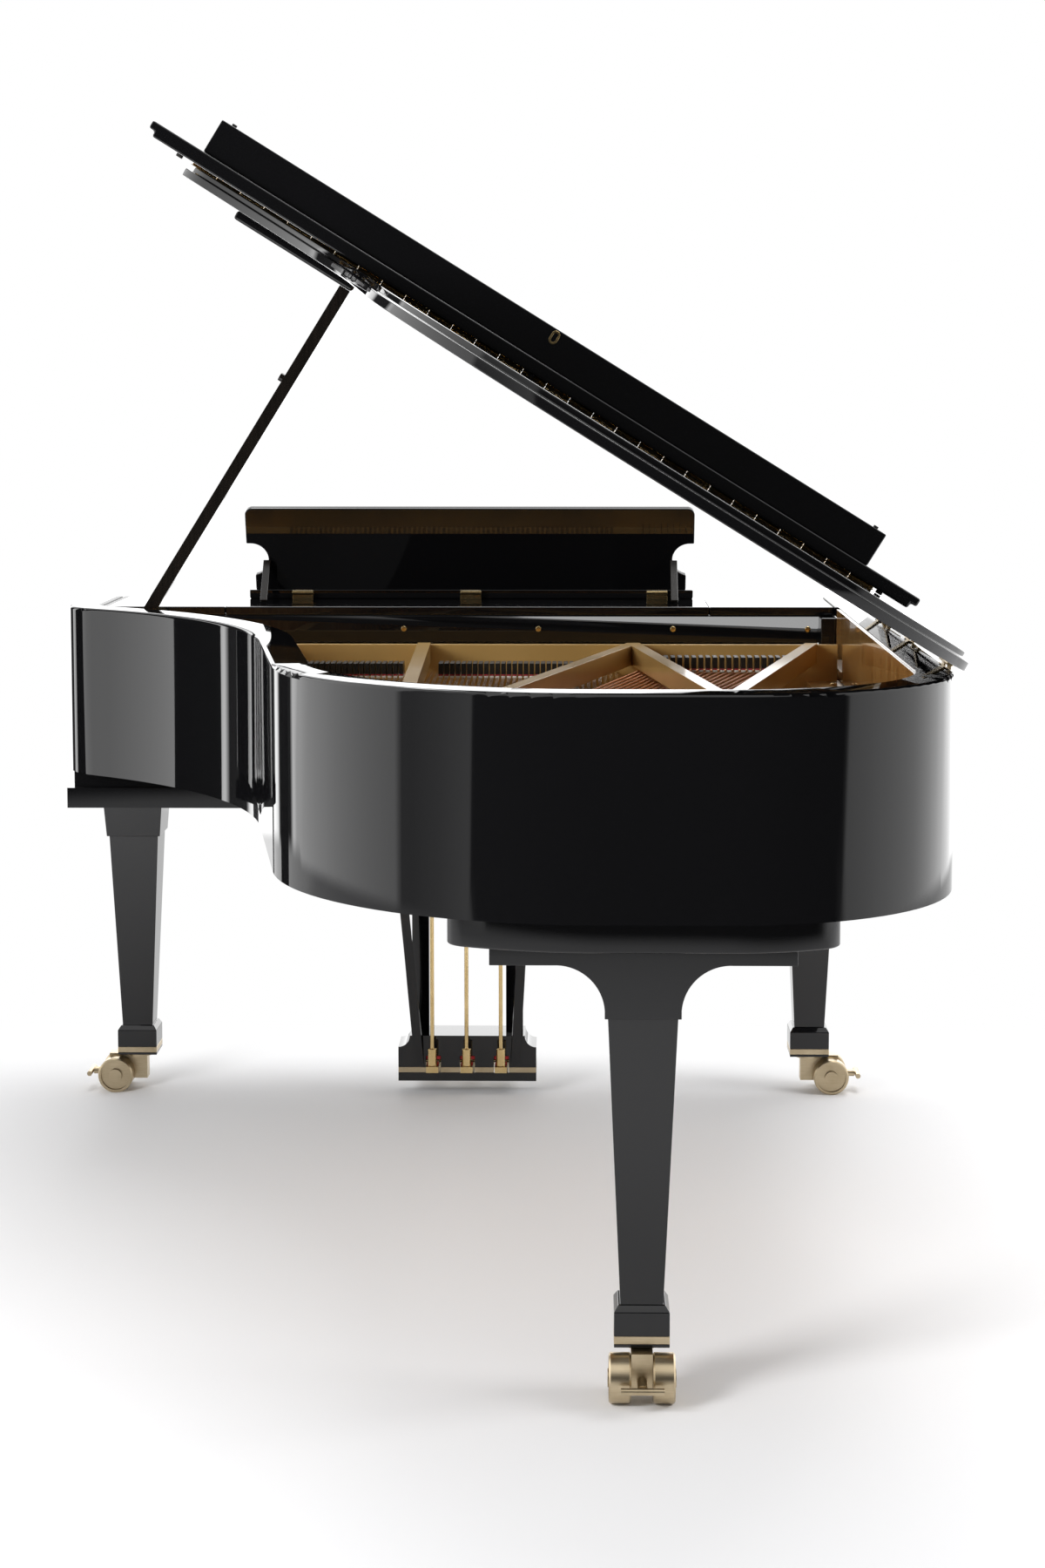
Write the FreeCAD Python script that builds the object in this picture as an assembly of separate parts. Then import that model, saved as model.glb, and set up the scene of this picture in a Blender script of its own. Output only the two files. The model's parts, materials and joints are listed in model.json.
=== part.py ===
"""Grand piano with its lid propped open, the front flap folded back and the desk raised.

Millimetres. While it is being modelled X runs from bass (minus) to treble, Y from the keyboard to the
tail and Z up from the floor. At the end everything is moved so that the origin lies on the floor, under
the middle of the whole piano.
"""
import FreeCAD
import Part
import math
import os

V = FreeCAD.Vector
RIGHT = V(1, 0, 0)
BACK = V(0, 1, 0)
UP = V(0, 0, 1)

# Case plan
case_width = 1500.0
case_length = 2130.0
shoulder_start = 575.0
shoulder_radius = 140.0
shoulder_turn = 55.0
waist_radius = 918.0
waist_lean = 9.0
tail_treble_share = 0.324
tail_bass_share = 0.22

# Case heights and walls
rim_bottom = 695.0
rim_height = 311.0
rim_wall = 55.0
rim_edge_round = 7.0
arm_round = 150.0
inner_rim_wall = 60.0
inner_rim_rise = 10.0
belly_front = 600.0
belly_wall = 40.0
deck_drop = 154.0
soundboard_thickness = 9.0
keybed_drop = 69.0
keybed_board = 38.0
keybed_back = 640.0
keybed_front = 30.0
keybed_setback = 12.0
lining_thickness = 3.0
lining_drop = 4.0

# Plate, pin block and strings
plate_thickness = 14.0
plate_flange = 60.0
plate_web_front = 450.0
plate_web_back = 712.0
capo_width = 16.0
strut_width = 24.0
strut_clear = 33.0
strut_height = 36.0
strut_foot = 20.0
capo_drop = 2.0
capo_clear = 3.0
plate_clear = 4.0
strut_inset = 8.0
pin_block_height = 34.0
string_rise = 16.0
bass_rise = 9.0
plain_width = 1.4
wound_width = 3.6
plain_count = 66
wound_count = 22
wound_lean = 0.269
hitch_offset = 55.0
hitch_setback = 7.0
plain_hitch_inset = 106.0
wound_hitch_inset = 92.0
hitch_pin = 3.4
hitch_rise = 4.0
bass_window = 34.0
rosette_diameter = 56.0
rosette_reach = 115.0
rosette_angles = (46.0, 50.5, 55.0)
pin_row_inset = 40.0
pin_row_spacing = 34.0
pin_diameter = 7.0
pin_height = 34.0
hole_diameter = 46.0
bridge_width = 32.0
bridge_clear = 6.0

# Legs and casters
leg_side_inset = 74.0
front_leg_y = 285.0
tail_leg_share = -0.2
tail_leg_inset = 150.0
leg_bottom = 76.0
capital_height = 103.0
capital_top_width = 122.0
capital_low_width = 106.0
shaft_top_width = 97.0
shaft_low_width = 60.0
foot_width = 78.0
foot_height = 59.0
foot_chamfer = 9.0
foot_step = 6.0
foot_lip = 5.0
band_height = 11.0
band_groove = 2.0
tail_block_width = 542.0
tail_block_height = 48.0
tail_block_inset = 48.0
tail_block_depth = 190.0
tail_block_round = 40.0
tail_neck_rise = 22.0
bracket_width = 424.0
bracket_board = 27.0
bracket_arc = 72.0
bracket_lip = 12.0
wheel_diameter = 70.0
wheel_width = 31.0
caster_gap = 30.0
caster_trail = 44.0
fork_reach = 16.0
fork_drop = 12.0
fork_gap = 2.0
caster_plate = 56.0
caster_plate_thickness = 5.0
caster_plate_gap = 1.0
stem_diameter = 16.0
stem_length = 50.0
axle_diameter = 9.0
hub_diameter = 26.0
hub_rise = 1.5
wheel_recess = 4.0
wheel_lip = 6.0
tyre_chamfer = 2.5
brake_tube = 14.0
brake_reach = 34.0
brake_bar = 60.0
brake_bar_diameter = 10.0
brake_neck = 8.0
brake_neck_length = 5.0
fit = 0.05
seat_gap = 0.3
tolerance = 0.01

# Pedal lyre
lyre_x = 10.0
lyre_width = 276.0
lyre_front = 262.0
lyre_back = 352.0
lyre_bottom = 32.0
lyre_box_height = 66.0
lyre_bevel = 26.0
post_width = 34.0
post_spacing = 188.0
lyre_cap_inset = 23.0
lyre_band_low = 17.0
lyre_head = 18.0
head_inset = 20.0
head_setback = 14.0
felt_thickness = 8.0
felt_depth = 12.0
felt_inset = 4.0
pedal_spacing = 68.0
pedal_width = 24.0
pedal_thickness = 12.0
pedal_front = 120.0
pedal_pivot_y = 318.0
pedal_height = 66.0
pedal_slot = 34.0
pedal_clear = 3.0
pedal_heel = 12.0
toe_reach = 40.0
toe_flare = 6.0
pin_end = 8.0
pivot_pin = 8.0
rod_y = 388.0
rod_diameter = 8.0
rod_seat = 20.0
rod_play = 1.2
cup_diameter = 18.0
cup_height = 34.0
brace_width = 18.0
brace_depth = 22.0
brace_low_x = 96.0
brace_top_x = 130.0
brace_rise = 30.0
brace_back = 560.0

# Keyboard
white_count = 52
key_margin = 24.0
white_gap = 1.0
white_front = 62.0
white_length = 150.0
key_height = 22.0
key_lift = 14.0
key_back = 420.0
balance_y = 300.0
sharp_width = 11.0
sharp_length = 95.0
sharp_rise = 12.0
sharp_room = 6.5
sharp_step = 6.0
sharp_slope = 8.0
frame_height = 24.0
frame_setback = 30.0
balance_width = 10.0
slip_height = 46.0
slip_thickness = 24.0
slip_gap = 6.0
cheek_width = 60.0
cheek_setback = 34.0
cheek_rise = 18.0
fall_axis_y = 232.0
fall_axis_rise = 90.0
fall_height = 150.0
fall_lip = 14.0
lip_height = 18.0
fall_thickness = 20.0
fall_clear = 4.0
fall_foot = 12.0
fall_foot_drop = 4.0
fall_pin = 8.0
fall_pin_length = 10.0
fall_bore_depth = 12.0
stretcher_front = 262.0
stretcher_thickness = 30.0
stretcher_clear = 16.0

# Action
hammer_count = 88
hammer_y = 470.0
hammer_thickness = 6.0
hammer_reach = 60.0
hammer_nose = 24.0
hammer_nose_height = 22.0
hammer_crown = 40.0
hammer_height = 30.0
hammer_heel = 10.0
action_rise = 40.0
action_inset = 30.0
rail_reach = 60.0
rail_depth = 30.0
rail_height = 24.0
rail_post = 12.0
damper_y = 790.0
damper_depth = 46.0
damper_width = 8.0
damper_felt = 7.0
damper_block = 20.0
damper_clear = 6.0

# Music desk
shelf_front = 296.0
shelf_back = 560.0
shelf_thickness = 16.0
shelf_drop = 6.0
wing_margin = 22.0
wing_gap = 1.0
back_rail_thickness = 26.0
back_rail_height = 52.0
rail_end_depth = 60.0
rail_end_height = 78.0
rail_end_width = 30.0
side_rail_width = 26.0
side_rail_height = 24.0
screw_count = 5
screw_inset = 20.0
screw_last_share = 0.25
screw_drop = 26.0
screw_head = 11.0
screw_head_rise = 3.0
desk_share = 0.58133
desk_hinge_shares = (-0.4186, 0.0, 0.3784)
desk_hinge_width = 40.0
desk_height = 178.0
desk_thickness = 14.0
desk_lean = 20.0
desk_foot_y = 374.0
desk_foot_gap = 13.0
desk_notch_low = 37.0
desk_notch_high = 104.0
desk_notch_depth = 42.0
desk_foot_inset = 15.0
desk_top_round = 14.0
ledge_front = 326.0
ledge_clear = 16.0
ledge_height = 18.0
hinge_clear = 5.0
stand_front = 3.0
stand_back = 2.0
stand_drop = 3.0
strut_pivot = 70.0
strut_slope = 48.0
strut_wide = 14.0
strut_thick = 8.0
strut_end = 40.0

# Lid
lid_angle = 31.86
lid_gap = 4.0
lid_lower = 15.0
lid_upper = 10.0
lid_overhang = 14.0
lid_step = 12.0
fold_y = 645.0
fold_gap = 6.0
flap_front = 208.0
fold_clear = 1.5
hinge_reach = 6.0
hinge_margin = 20.0
knuckle_pitch = 51.0
knuckle_diameter = 5.0
leaf_thickness = 1.0
leaf_width = 16.0
skirt_from = 93.0
skirt_end_inset = 82.0
skirt_height = 62.0
skirt_thickness = 18.0
skirt_setback = 16.0
bumper_diameter = 12.0
bumper_inset = 50.0
bumper_setback = 30.0
skirt_bumper = 9.0
skirt_bumper_rise = 4.0
skirt_bumper_inset = 22.0
escutcheon_length = 24.0
escutcheon_width = 15.0
escutcheon_wall = 3.5
escutcheon_thickness = 1.5
case_hinge_length = 90.0
case_hinge_diameter = 10.0
case_leaf = 2.0
case_leaf_height = 34.0
lid_leaf_reach = 36.0
hinge_web = 12.0
knuckle_play = 0.2
hinge_from_fold = 115.0
hinge_from_tail = 160.0
batten_length = 255.0
batten_end = 15.0
batten_width = 38.0
batten_height = 18.0
prop_y = 666.0
prop_inset = 154.0
prop_base_drop = 20.0
prop_width = 22.0
prop_thickness = 16.0
prop_clear = 0.5
prop_knob = 16.0
knob_share = 0.72
knob_rise = 8.0
prop_pin = 8.0
prop_heel = 12.0
ear_thickness = 6.0
ear_reach = 12.0
ear_drop = 2.0
bracket_seat = 20.0
bracket_drop = 60.0

# Places inside the case: shares of its width, and of the room from the capo bar to the tail
treble_bridge_shares = ((0.2613, 0.0451), (0.124, 0.2807), (-0.1947, 0.5557))
bass_bridge_shares = ((-0.324, 0.6544), (-0.0667, 0.708))
bass_bridge_width = 34.0
strut_shares = ((0.0493, 0.036), (-0.208, -0.0467), (-0.208, -0.2907), (-0.4267, -0.2933), (0.22, 0.2))
strut_run_share = 0.6347
plate_hole_shares = (-0.3733, -0.2867, -0.1333, -0.04, 0.1267, 0.18, 0.3, 0.3733)
plate_hole_inset = 62.0
plain_span_shares = (0.256, -0.1867)
wound_span_shares = (-0.23, -0.4067)
damper_limit_share = 0.2
hammer_span_share = 0.4
beam_shares = ((-0.3467, -0.3467), (-0.1333, -0.2267), (0.0933, -0.0867), (0.2867, 0.08))
beam_width = 60.0
beam_height = 80.0
beam_rise = 12.0
rib_count = 9
rib_first_share = 0.0338
rib_spacing_share = 0.0952
rib_width = 24.0
rib_height = 26.0

half_width = case_width / 2
tail_treble_radius = case_width * tail_treble_share
tail_bass_radius = case_width * tail_bass_share
tail_leg_x = case_width * tail_leg_share
prop_x = half_width - prop_inset
desk_width = case_width * desk_share
skirt_to = case_width - skirt_end_inset
white_pitch = 2 * (half_width - rim_wall - cheek_width - key_margin) / white_count
rim_top = rim_bottom + rim_height
deck_height = rim_top - deck_drop
keybed_bottom = rim_bottom - keybed_drop
fall_axis_z = rim_bottom + fall_axis_rise
prop_base_z = rim_top - prop_base_drop
bracket_low = rim_top - bracket_drop
string_room = case_length - plate_web_back
lid_bottom = rim_top + lid_gap
lid_top = lid_bottom + lid_lower + lid_upper
lid_axis = V(-half_width - hinge_reach, 0, rim_top + lid_gap / 2)
fold_axis = V(0, fold_y, lid_top + fold_gap / 2)
board_top = deck_height + soundboard_thickness
plate_top = board_top + plate_thickness
string_z = plate_top + string_rise
bass_z = string_z + bass_rise
strut_z = plate_top + strut_clear
keybed_top = keybed_bottom + keybed_board

pieces = {}


def slab(x0, x1, y0, y1, z0, z1):
    """A box between two values on each axis."""
    return Part.makeBox(x1 - x0, y1 - y0, z1 - z0, V(x0, y0, z0))


def rod(start, direction, diameter, length):
    """A round bar."""
    return Part.makeCylinder(diameter / 2, length, start, direction)


def polygon(points, direction):
    """A prism on a closed run of points."""
    return Part.Face(Part.makePolygon(points + points[:1])).extrude(direction)


def frustum(centre, z_low, z_high, low, high):
    """A square block that tapers between two heights."""
    wires = []
    for z, width in ((z_low, low), (z_high, high)):
        h = width / 2
        corners = [V(centre.x - h, centre.y - h, z), V(centre.x + h, centre.y - h, z),
                   V(centre.x + h, centre.y + h, z), V(centre.x - h, centre.y + h, z)]
        wires.append(Part.makePolygon(corners + corners[:1]))
    return Part.makeLoft(wires, True, True)


def group_of(solids):
    """One node made of separate solids."""
    return Part.Compound(solids)


def arc_edge(centre, radius, start, end):
    """An arc about the vertical through three of its points."""
    def at(angle):
        a = math.radians(angle)
        return V(centre.x + radius * math.cos(a), centre.y + radius * math.sin(a), 0)
    return Part.Arc(at(start), at((start + end) / 2), at(end)).toShape()


def plan(inset, front):
    """The case's plan, drawn in by an inset: lines and tangent arcs from the treble side to the spine."""
    turn = math.radians(shoulder_turn)
    lean = math.radians(waist_lean)
    shoulder = V(half_width - shoulder_radius, shoulder_start, 0)
    out_turn = V(math.cos(turn), math.sin(turn), 0)
    out_lean = V(math.cos(lean), math.sin(lean), 0)
    waist = shoulder + out_turn * (shoulder_radius + waist_radius)
    treble_tail_y = case_length - tail_treble_radius
    waist_end = waist - out_lean * waist_radius
    run = (treble_tail_y + tail_treble_radius * out_lean.y - waist_end.y) / math.cos(lean)
    tail_start = waist_end + V(-out_lean.y, out_lean.x, 0) * run
    tail_treble = tail_start - out_lean * tail_treble_radius
    tail_bass = V(-half_width + tail_bass_radius, case_length - tail_bass_radius, 0)
    side = half_width - inset
    arcs = [
        arc_edge(shoulder, shoulder_radius - inset, 0, shoulder_turn),
        arc_edge(waist, waist_radius + inset, 180 + shoulder_turn, 180 + waist_lean),
        arc_edge(tail_treble, tail_treble_radius - inset, waist_lean, 90),
        arc_edge(tail_bass, tail_bass_radius - inset, 90, 180),
    ]
    edges = []
    last = V(side, front, 0)
    for arc in arcs:
        first = arc.firstVertex().Point
        end = arc.lastVertex().Point
        if first.distanceToPoint(last) > end.distanceToPoint(last):
            first, end = end, first
        if first.distanceToPoint(last) > tolerance:
            edges.append(Part.LineSegment(last, first).toShape())
        edges.append(arc)
        last = end
    corner = V(-side, front, 0)
    edges.append(Part.LineSegment(last, corner).toShape())
    edges.append(Part.LineSegment(corner, V(side, front, 0)).toShape())
    return Part.Face(Part.Wire(edges))


def plan_solid(inset, front, low, high):
    """The plan raised between two heights."""
    face = plan(inset, min(front, 0))
    face.translate(V(0, 0, low))
    solid = face.extrude(UP * (high - low))
    if front > 0:
        solid = solid.common(slab(-case_width, case_width, front, 2 * case_length, low, high))
    return solid


def plan_ring(inset, wall, front, low, high):
    """A bent wall that follows the plan and is open at the keyboard end."""
    hollow = plan_solid(inset + wall, front - wall, low - 1, high + 1)
    return plan_solid(inset, front, low, high).cut(hollow)


def outer_top_edges(shape, height):
    """Edges of the outer plan line at one height."""
    picked = []
    outline = plan(0, 0).OuterWire
    for edge in shape.Edges:
        box = edge.BoundBox
        if abs(box.ZMin - height) < tolerance and abs(box.ZMax - height) < tolerance:
            mid = edge.valueAt((edge.FirstParameter + edge.LastParameter) / 2)
            flat = Part.Vertex(V(mid.x, mid.y, 0))
            if outline.distToShape(flat)[0] < tolerance and mid.y > 1:
                picked.append(edge)
    return picked


def make_case():
    """Rim, inner rim, belly rail, keybed and braces."""
    rim = plan_ring(0, rim_wall, 0, rim_bottom, rim_top)
    corner = slab(-half_width - 1, half_width + 1, -1, arm_round, rim_top - arm_round, rim_top + 1)
    round_bar = rod(V(-half_width - 2, arm_round, rim_top - arm_round), RIGHT, 2 * arm_round, case_width + 4)
    rim = rim.cut(corner.cut(round_bar))
    rim = rim.makeFillet(rim_edge_round, outer_top_edges(rim, rim_top))
    pieces["rim"] = rim
    lining_low = plate_top + 1
    lining = plan_ring(rim_wall, lining_thickness, belly_front, lining_low, rim_top - lining_drop)
    front_cut = slab(-half_width, half_width, 0, keybed_back, 0, rim_top)
    pieces["rim_lining"] = lining.cut(front_cut)
    inner = plan_ring(rim_wall, inner_rim_wall, belly_front, rim_bottom + inner_rim_rise, deck_height)
    pieces["inner_rim"] = inner.cut(slab(-half_width, half_width, 0, belly_front + belly_wall, 0, rim_top))
    side = half_width - rim_wall
    belly = slab(-side, side, belly_front, belly_front + belly_wall, rim_bottom, deck_height)
    belly = belly.common(plan_solid(rim_wall, 0, rim_bottom, deck_height))
    bed = slab(-half_width, half_width, keybed_front, keybed_back, keybed_bottom, keybed_top)
    inset = half_width - keybed_setback
    step = slab(-inset, inset, keybed_front, keybed_back - keybed_setback, keybed_top, rim_bottom)
    pieces["keybed"] = bed.fuse(step).removeSplitter()
    beams = []
    low = rim_bottom + beam_rise
    room = plan_solid(rim_wall + inner_rim_wall, 0, low, low + beam_height)
    beam_front = belly_front + belly_wall
    for shares in beam_shares:
        start = V(case_width * shares[0], beam_front, low)
        end = V(case_width * shares[1], case_length, low)
        aside = RIGHT * (beam_width / 2)
        beams.append(polygon([start - aside, start + aside, end + aside, end - aside],
                             UP * beam_height).common(room))
    pieces["case_braces"] = group_of([belly] + beams)


def make_soundboard():
    """Soundboard with its ribs below and its two bridges above."""
    board = plan_solid(rim_wall, belly_front, deck_height, board_top)
    ribs = []
    room = plan_solid(rim_wall + inner_rim_wall, belly_front, deck_height - rib_height, deck_height)
    for number in range(rib_count):
        y = plate_web_back + string_room * (rib_first_share + number * rib_spacing_share)
        bar = slab(-half_width, half_width, y, y + rib_width, deck_height - rib_height, deck_height)
        ribs += bar.common(room).Solids
    pieces["soundboard"] = group_of([board] + ribs)
    bridge = bridge_band(bridge_width / 2).extrude(UP * (string_z - board_top))
    bridge.translate(V(0, 0, board_top))
    bridge = bridge.common(plan_solid(rim_wall + plate_flange + bridge_clear, 0, 0, rim_top))
    bass_ends = [string_place(shares) + UP * board_top for shares in bass_bridge_shares]
    across = BACK * bass_bridge_width
    bass_points = [bass_ends[0], bass_ends[1], bass_ends[1] + across, bass_ends[0] + across]
    pieces["bridges"] = group_of([bridge, polygon(bass_points, UP * (bass_z - board_top))])


def string_place(shares):
    """A place behind the capo bar, from its shares of the width and of the room for strings."""
    return V(case_width * shares[0], plate_web_back + string_room * shares[1], 0)


bridge_start, bridge_middle, bridge_end = [string_place(shares) for shares in treble_bridge_shares]


def bridge_circle():
    """Centre and radius of the treble bridge's arc."""
    arc = Part.Arc(bridge_start, bridge_middle, bridge_end).toShape().Curve
    return arc.Center, arc.Radius


def bridge_band(half):
    """The treble bridge's plan: an arc with parallel sides."""
    centre, radius = bridge_circle()

    def at(point, r):
        d = (point - centre).normalize()
        return centre + d * r
    outer = Part.Arc(at(bridge_start, radius + half), at(bridge_middle, radius + half),
                     at(bridge_end, radius + half)).toShape()
    inner = Part.Arc(at(bridge_end, radius - half), at(bridge_middle, radius - half),
                     at(bridge_start, radius - half)).toShape()
    ends = [Part.LineSegment(at(bridge_end, radius + half), at(bridge_end, radius - half)).toShape(),
            Part.LineSegment(at(bridge_start, radius - half), at(bridge_start, radius + half)).toShape()]
    return Part.Face(Part.Wire([outer, ends[0], inner, ends[1]]))


def strut_bar(start_x, end_x, low, high, clip):
    """One plate strut from the capo bar towards the tail, cut off where its flange ends."""
    run = string_room * strut_run_share
    begin = V(start_x, plate_web_back - capo_width, low)
    slope = (end_x - start_x) / run
    far = V(start_x + slope * case_length, plate_web_back - capo_width + case_length, low)
    h = strut_width / 2
    points = [begin + RIGHT * -h, begin + RIGHT * h, far + RIGHT * h, far + RIGHT * -h]
    return polygon(points, UP * (high - low)).common(clip)


def hitch_panel():
    """The plate behind the treble bridge, with a window for the bass bridge and round openings."""
    centre, radius = bridge_circle()
    panel = plan_solid(rim_wall + plate_clear, plate_web_back - capo_width, board_top, plate_top)
    panel = panel.cut(rod(V(centre.x, centre.y, 0), UP, 2 * (radius + hitch_offset), 2 * rim_top))
    ends = [string_place(shares) for shares in bass_bridge_shares]
    panel = panel.cut(slab(ends[0].x - bass_window, ends[1].x + bass_window, ends[0].y - bass_window,
                           ends[1].y + bass_bridge_width + bass_window, 0, rim_top))
    for angle in rosette_angles:
        a = math.radians(angle)
        place = V(centre.x, centre.y, 0) + V(math.cos(a), math.sin(a), 0) * (radius + rosette_reach)
        panel = panel.cut(rod(place, UP, rosette_diameter, rim_top))
    return panel


def hitch_y(x):
    """Where a plain string at x ends on the hitch panel."""
    centre, radius = bridge_circle()
    reach = radius + hitch_offset + hitch_setback
    return centre.y + math.sqrt(reach ** 2 - (x - centre.x) ** 2)


def make_plate():
    """The cast plate: flange round the case, web over the pin block, capo bar and raised struts."""
    ring = plan_ring(rim_wall + plate_clear, plate_flange, belly_front, board_top, plate_top)
    ring = ring.cut(slab(-half_width, half_width, 0, plate_web_back - capo_width, 0, rim_top))
    side = half_width - rim_wall - 1
    web = slab(-side, side, plate_web_front, plate_web_back, plate_top, plate_top + plate_thickness)
    reach = side - capo_clear
    capo_front = plate_web_back - capo_width
    skirt = slab(-reach, reach, capo_front, plate_web_back, board_top, plate_top)
    capo = slab(-reach, reach, capo_front, plate_web_back, plate_top + plate_thickness,
                strut_z + strut_height - capo_drop)
    room = plan_solid(rim_wall + strut_inset, 0, 0, 2 * rim_top)
    feet = plan_ring(rim_wall + strut_inset, strut_foot, belly_front, 0, 2 * rim_top)
    body = [web.common(room), skirt.common(room), capo.common(room)]
    for shares in strut_shares:
        begin, end = [case_width * share for share in shares]
        body.append(strut_bar(begin, end, strut_z, strut_z + strut_height, room))
        body.append(strut_bar(begin, end, plate_top, strut_z, feet))
    body.append(hitch_panel())
    plate = ring.fuse(body).removeSplitter()
    for share in plate_hole_shares:
        hole_at = V(case_width * share, plate_web_back - plate_hole_inset, plate_top - 1)
        plate = plate.cut(rod(hole_at, UP, hole_diameter, plate_thickness + 2))
    pieces["plate"] = plate
    block = slab(-side, side, plate_web_front, belly_front, plate_top - pin_block_height, plate_top)
    pieces["pin_block"] = block.common(plan_solid(rim_wall + 1, 0, 0, rim_top))


def spread_places(span_shares, count):
    """Evenly spaced places across the case, between two shares of its width."""
    first, last = [case_width * share for share in span_shares]
    return [first + (last - first) * i / (count - 1) for i in range(count)]


plain_places = spread_places(plain_span_shares, plain_count)
wound_places = spread_places(wound_span_shares, wound_count)


def make_strings():
    """Plain strings over the treble bridge, wound strings crossing above them, and the pins at both ends."""
    capo_front = plate_web_back - capo_width
    pins = []
    strings = {}
    for name, places, lean, width, low, inset in (
            ("plain", plain_places, 0.0, plain_width, string_z, plain_hitch_inset),
            ("wound", wound_places, wound_lean, wound_width, bass_z, wound_hitch_inset)):
        room = plan_solid(inset, 0, 0, rim_top)
        aside = RIGHT * (width / 2)
        run = []
        for number, x in enumerate(places):
            begin = V(x, plate_web_back, low)
            length = (case_length if lean else hitch_y(x)) - plate_web_back
            far = begin + V(lean * length, length, 0)
            bar = polygon([begin - aside, begin + aside, far + aside, far - aside], UP * width).common(room)
            run.append(bar)
            end_y = bar.BoundBox.YMax + hitch_pin / 2 + seat_gap
            pins.append(rod(V(x + lean * (end_y - plate_web_back), end_y, plate_top), UP, hitch_pin,
                            low + hitch_rise - plate_top))
            pin_y = plate_web_front + pin_row_inset + number % 2 * pin_row_spacing
            pins.append(Part.makeBox(pin_diameter, pin_diameter, pin_height,
                                     V(x - pin_diameter / 2, pin_y, plate_top + plate_thickness)))
            run.append(slab(x - width / 2, x + width / 2, pin_y + pin_diameter + seat_gap, capo_front,
                            low, low + width))
        strings[name] = run
    pieces["plain_strings"] = group_of(strings["plain"])
    pieces["wound_strings"] = group_of(strings["wound"])
    pieces["tuning_pins"] = group_of(pins)


def leg_at(centre, top, bracket):
    """One leg: capital, tapered shaft and square foot, with a groove for its brass band."""
    shaft_top = top - capital_height
    foot_top = leg_bottom + foot_height
    parts = [frustum(centre, shaft_top, top, capital_low_width, capital_top_width)]
    if bracket:
        parts = [bracket]
    parts.append(frustum(centre, foot_top - 1, shaft_top, shaft_low_width, shaft_top_width))
    parts.append(frustum(centre, foot_top - foot_chamfer, foot_top, foot_width, shaft_low_width + foot_step))
    band_low = leg_bottom + foot_lip
    parts.append(frustum(centre, band_low + band_height, foot_top - foot_chamfer, foot_width, foot_width))
    inner = foot_width - 2 * band_groove
    parts.append(frustum(centre, band_low, band_low + band_height, inner, inner))
    parts.append(frustum(centre, leg_bottom, band_low, foot_width, foot_width))
    leg = parts[0].fuse(parts[1:]).removeSplitter()
    stem = rod(V(centre.x, centre.y, leg_bottom - 1), UP, stem_diameter + 2 * fit, stem_length + 2)
    band = frustum(centre, band_low, band_low + band_height, foot_width, foot_width)
    band = band.cut(frustum(centre, band_low - 1, band_low + band_height + 1, inner, inner))
    return leg.cut(stem), band


def tail_bracket(centre, top, low):
    """The tail leg's wide head: a board whose underside sweeps down in two quarter arcs to the neck."""
    half = bracket_width / 2
    neck = capital_low_width / 2
    depth = capital_low_width
    y = centre.y - depth / 2
    board_low = top - bracket_board
    arc_low = low + bracket_lip
    reach = board_low - arc_low

    def at(x, z):
        return V(centre.x + x, y, z)
    spread = neck + bracket_arc
    s = math.sin(math.radians(45))
    right_mid = at(spread - bracket_arc * s, arc_low + reach * (1 - (1 - s)))
    left_mid = at(-spread + bracket_arc * s, arc_low + reach * (1 - (1 - s)))
    edges = [
        Part.LineSegment(at(-half, top), at(half, top)).toShape(),
        Part.LineSegment(at(half, top), at(half, board_low)).toShape(),
        Part.LineSegment(at(half, board_low), at(spread, board_low)).toShape(),
        Part.Arc(at(spread, board_low), right_mid, at(neck, arc_low)).toShape(),
        Part.LineSegment(at(neck, arc_low), at(neck, low)).toShape(),
        Part.LineSegment(at(neck, low), at(-neck, low)).toShape(),
        Part.LineSegment(at(-neck, low), at(-neck, arc_low)).toShape(),
        Part.Arc(at(-neck, arc_low), left_mid, at(-spread, board_low)).toShape(),
        Part.LineSegment(at(-spread, board_low), at(-half, board_low)).toShape(),
        Part.LineSegment(at(-half, board_low), at(-half, top)).toShape(),
    ]
    return Part.Face(Part.Wire(edges)).extrude(BACK * depth)


leg_x = half_width - leg_side_inset
leg_places = {
    "treble": (V(leg_x, front_leg_y, 0), 90.0),
    "bass": (V(-leg_x, front_leg_y, 0), -90.0),
    "tail": (V(tail_leg_x, case_length - tail_leg_inset, 0), 180.0),
}


def is_upright(edge):
    """Whether an edge stands straight up."""
    box = edge.BoundBox
    return box.ZLength > max(box.XLength, box.YLength)


def make_legs():
    """Three legs, their brass bands and the block that carries the tail leg."""
    bands = []
    tail_top = rim_bottom - tail_block_height
    for name, (centre, heading) in leg_places.items():
        if name == "tail":
            neck_top = keybed_bottom + tail_neck_rise
            leg, band = leg_at(centre, neck_top, tail_bracket(centre, tail_top, neck_top - capital_height))
        else:
            leg, band = leg_at(centre, keybed_bottom, None)
        pieces["leg_" + name] = leg
        bands.append(band)
    pieces["leg_bands"] = group_of(bands)
    centre = leg_places["tail"][0]
    block = plan_solid(tail_block_inset, 0, tail_top, rim_bottom)
    half = tail_block_width / 2
    front = case_length - tail_block_inset - tail_block_depth
    window = slab(centre.x - half, centre.x + half, front, case_length, 0, rim_top)
    block = block.common(window)
    corners = [edge for edge in block.Edges if is_upright(edge) and edge.CenterOfMass.y > front + 1]
    pieces["tail_block"] = block.makeFillet(tail_block_round, corners)


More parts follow.
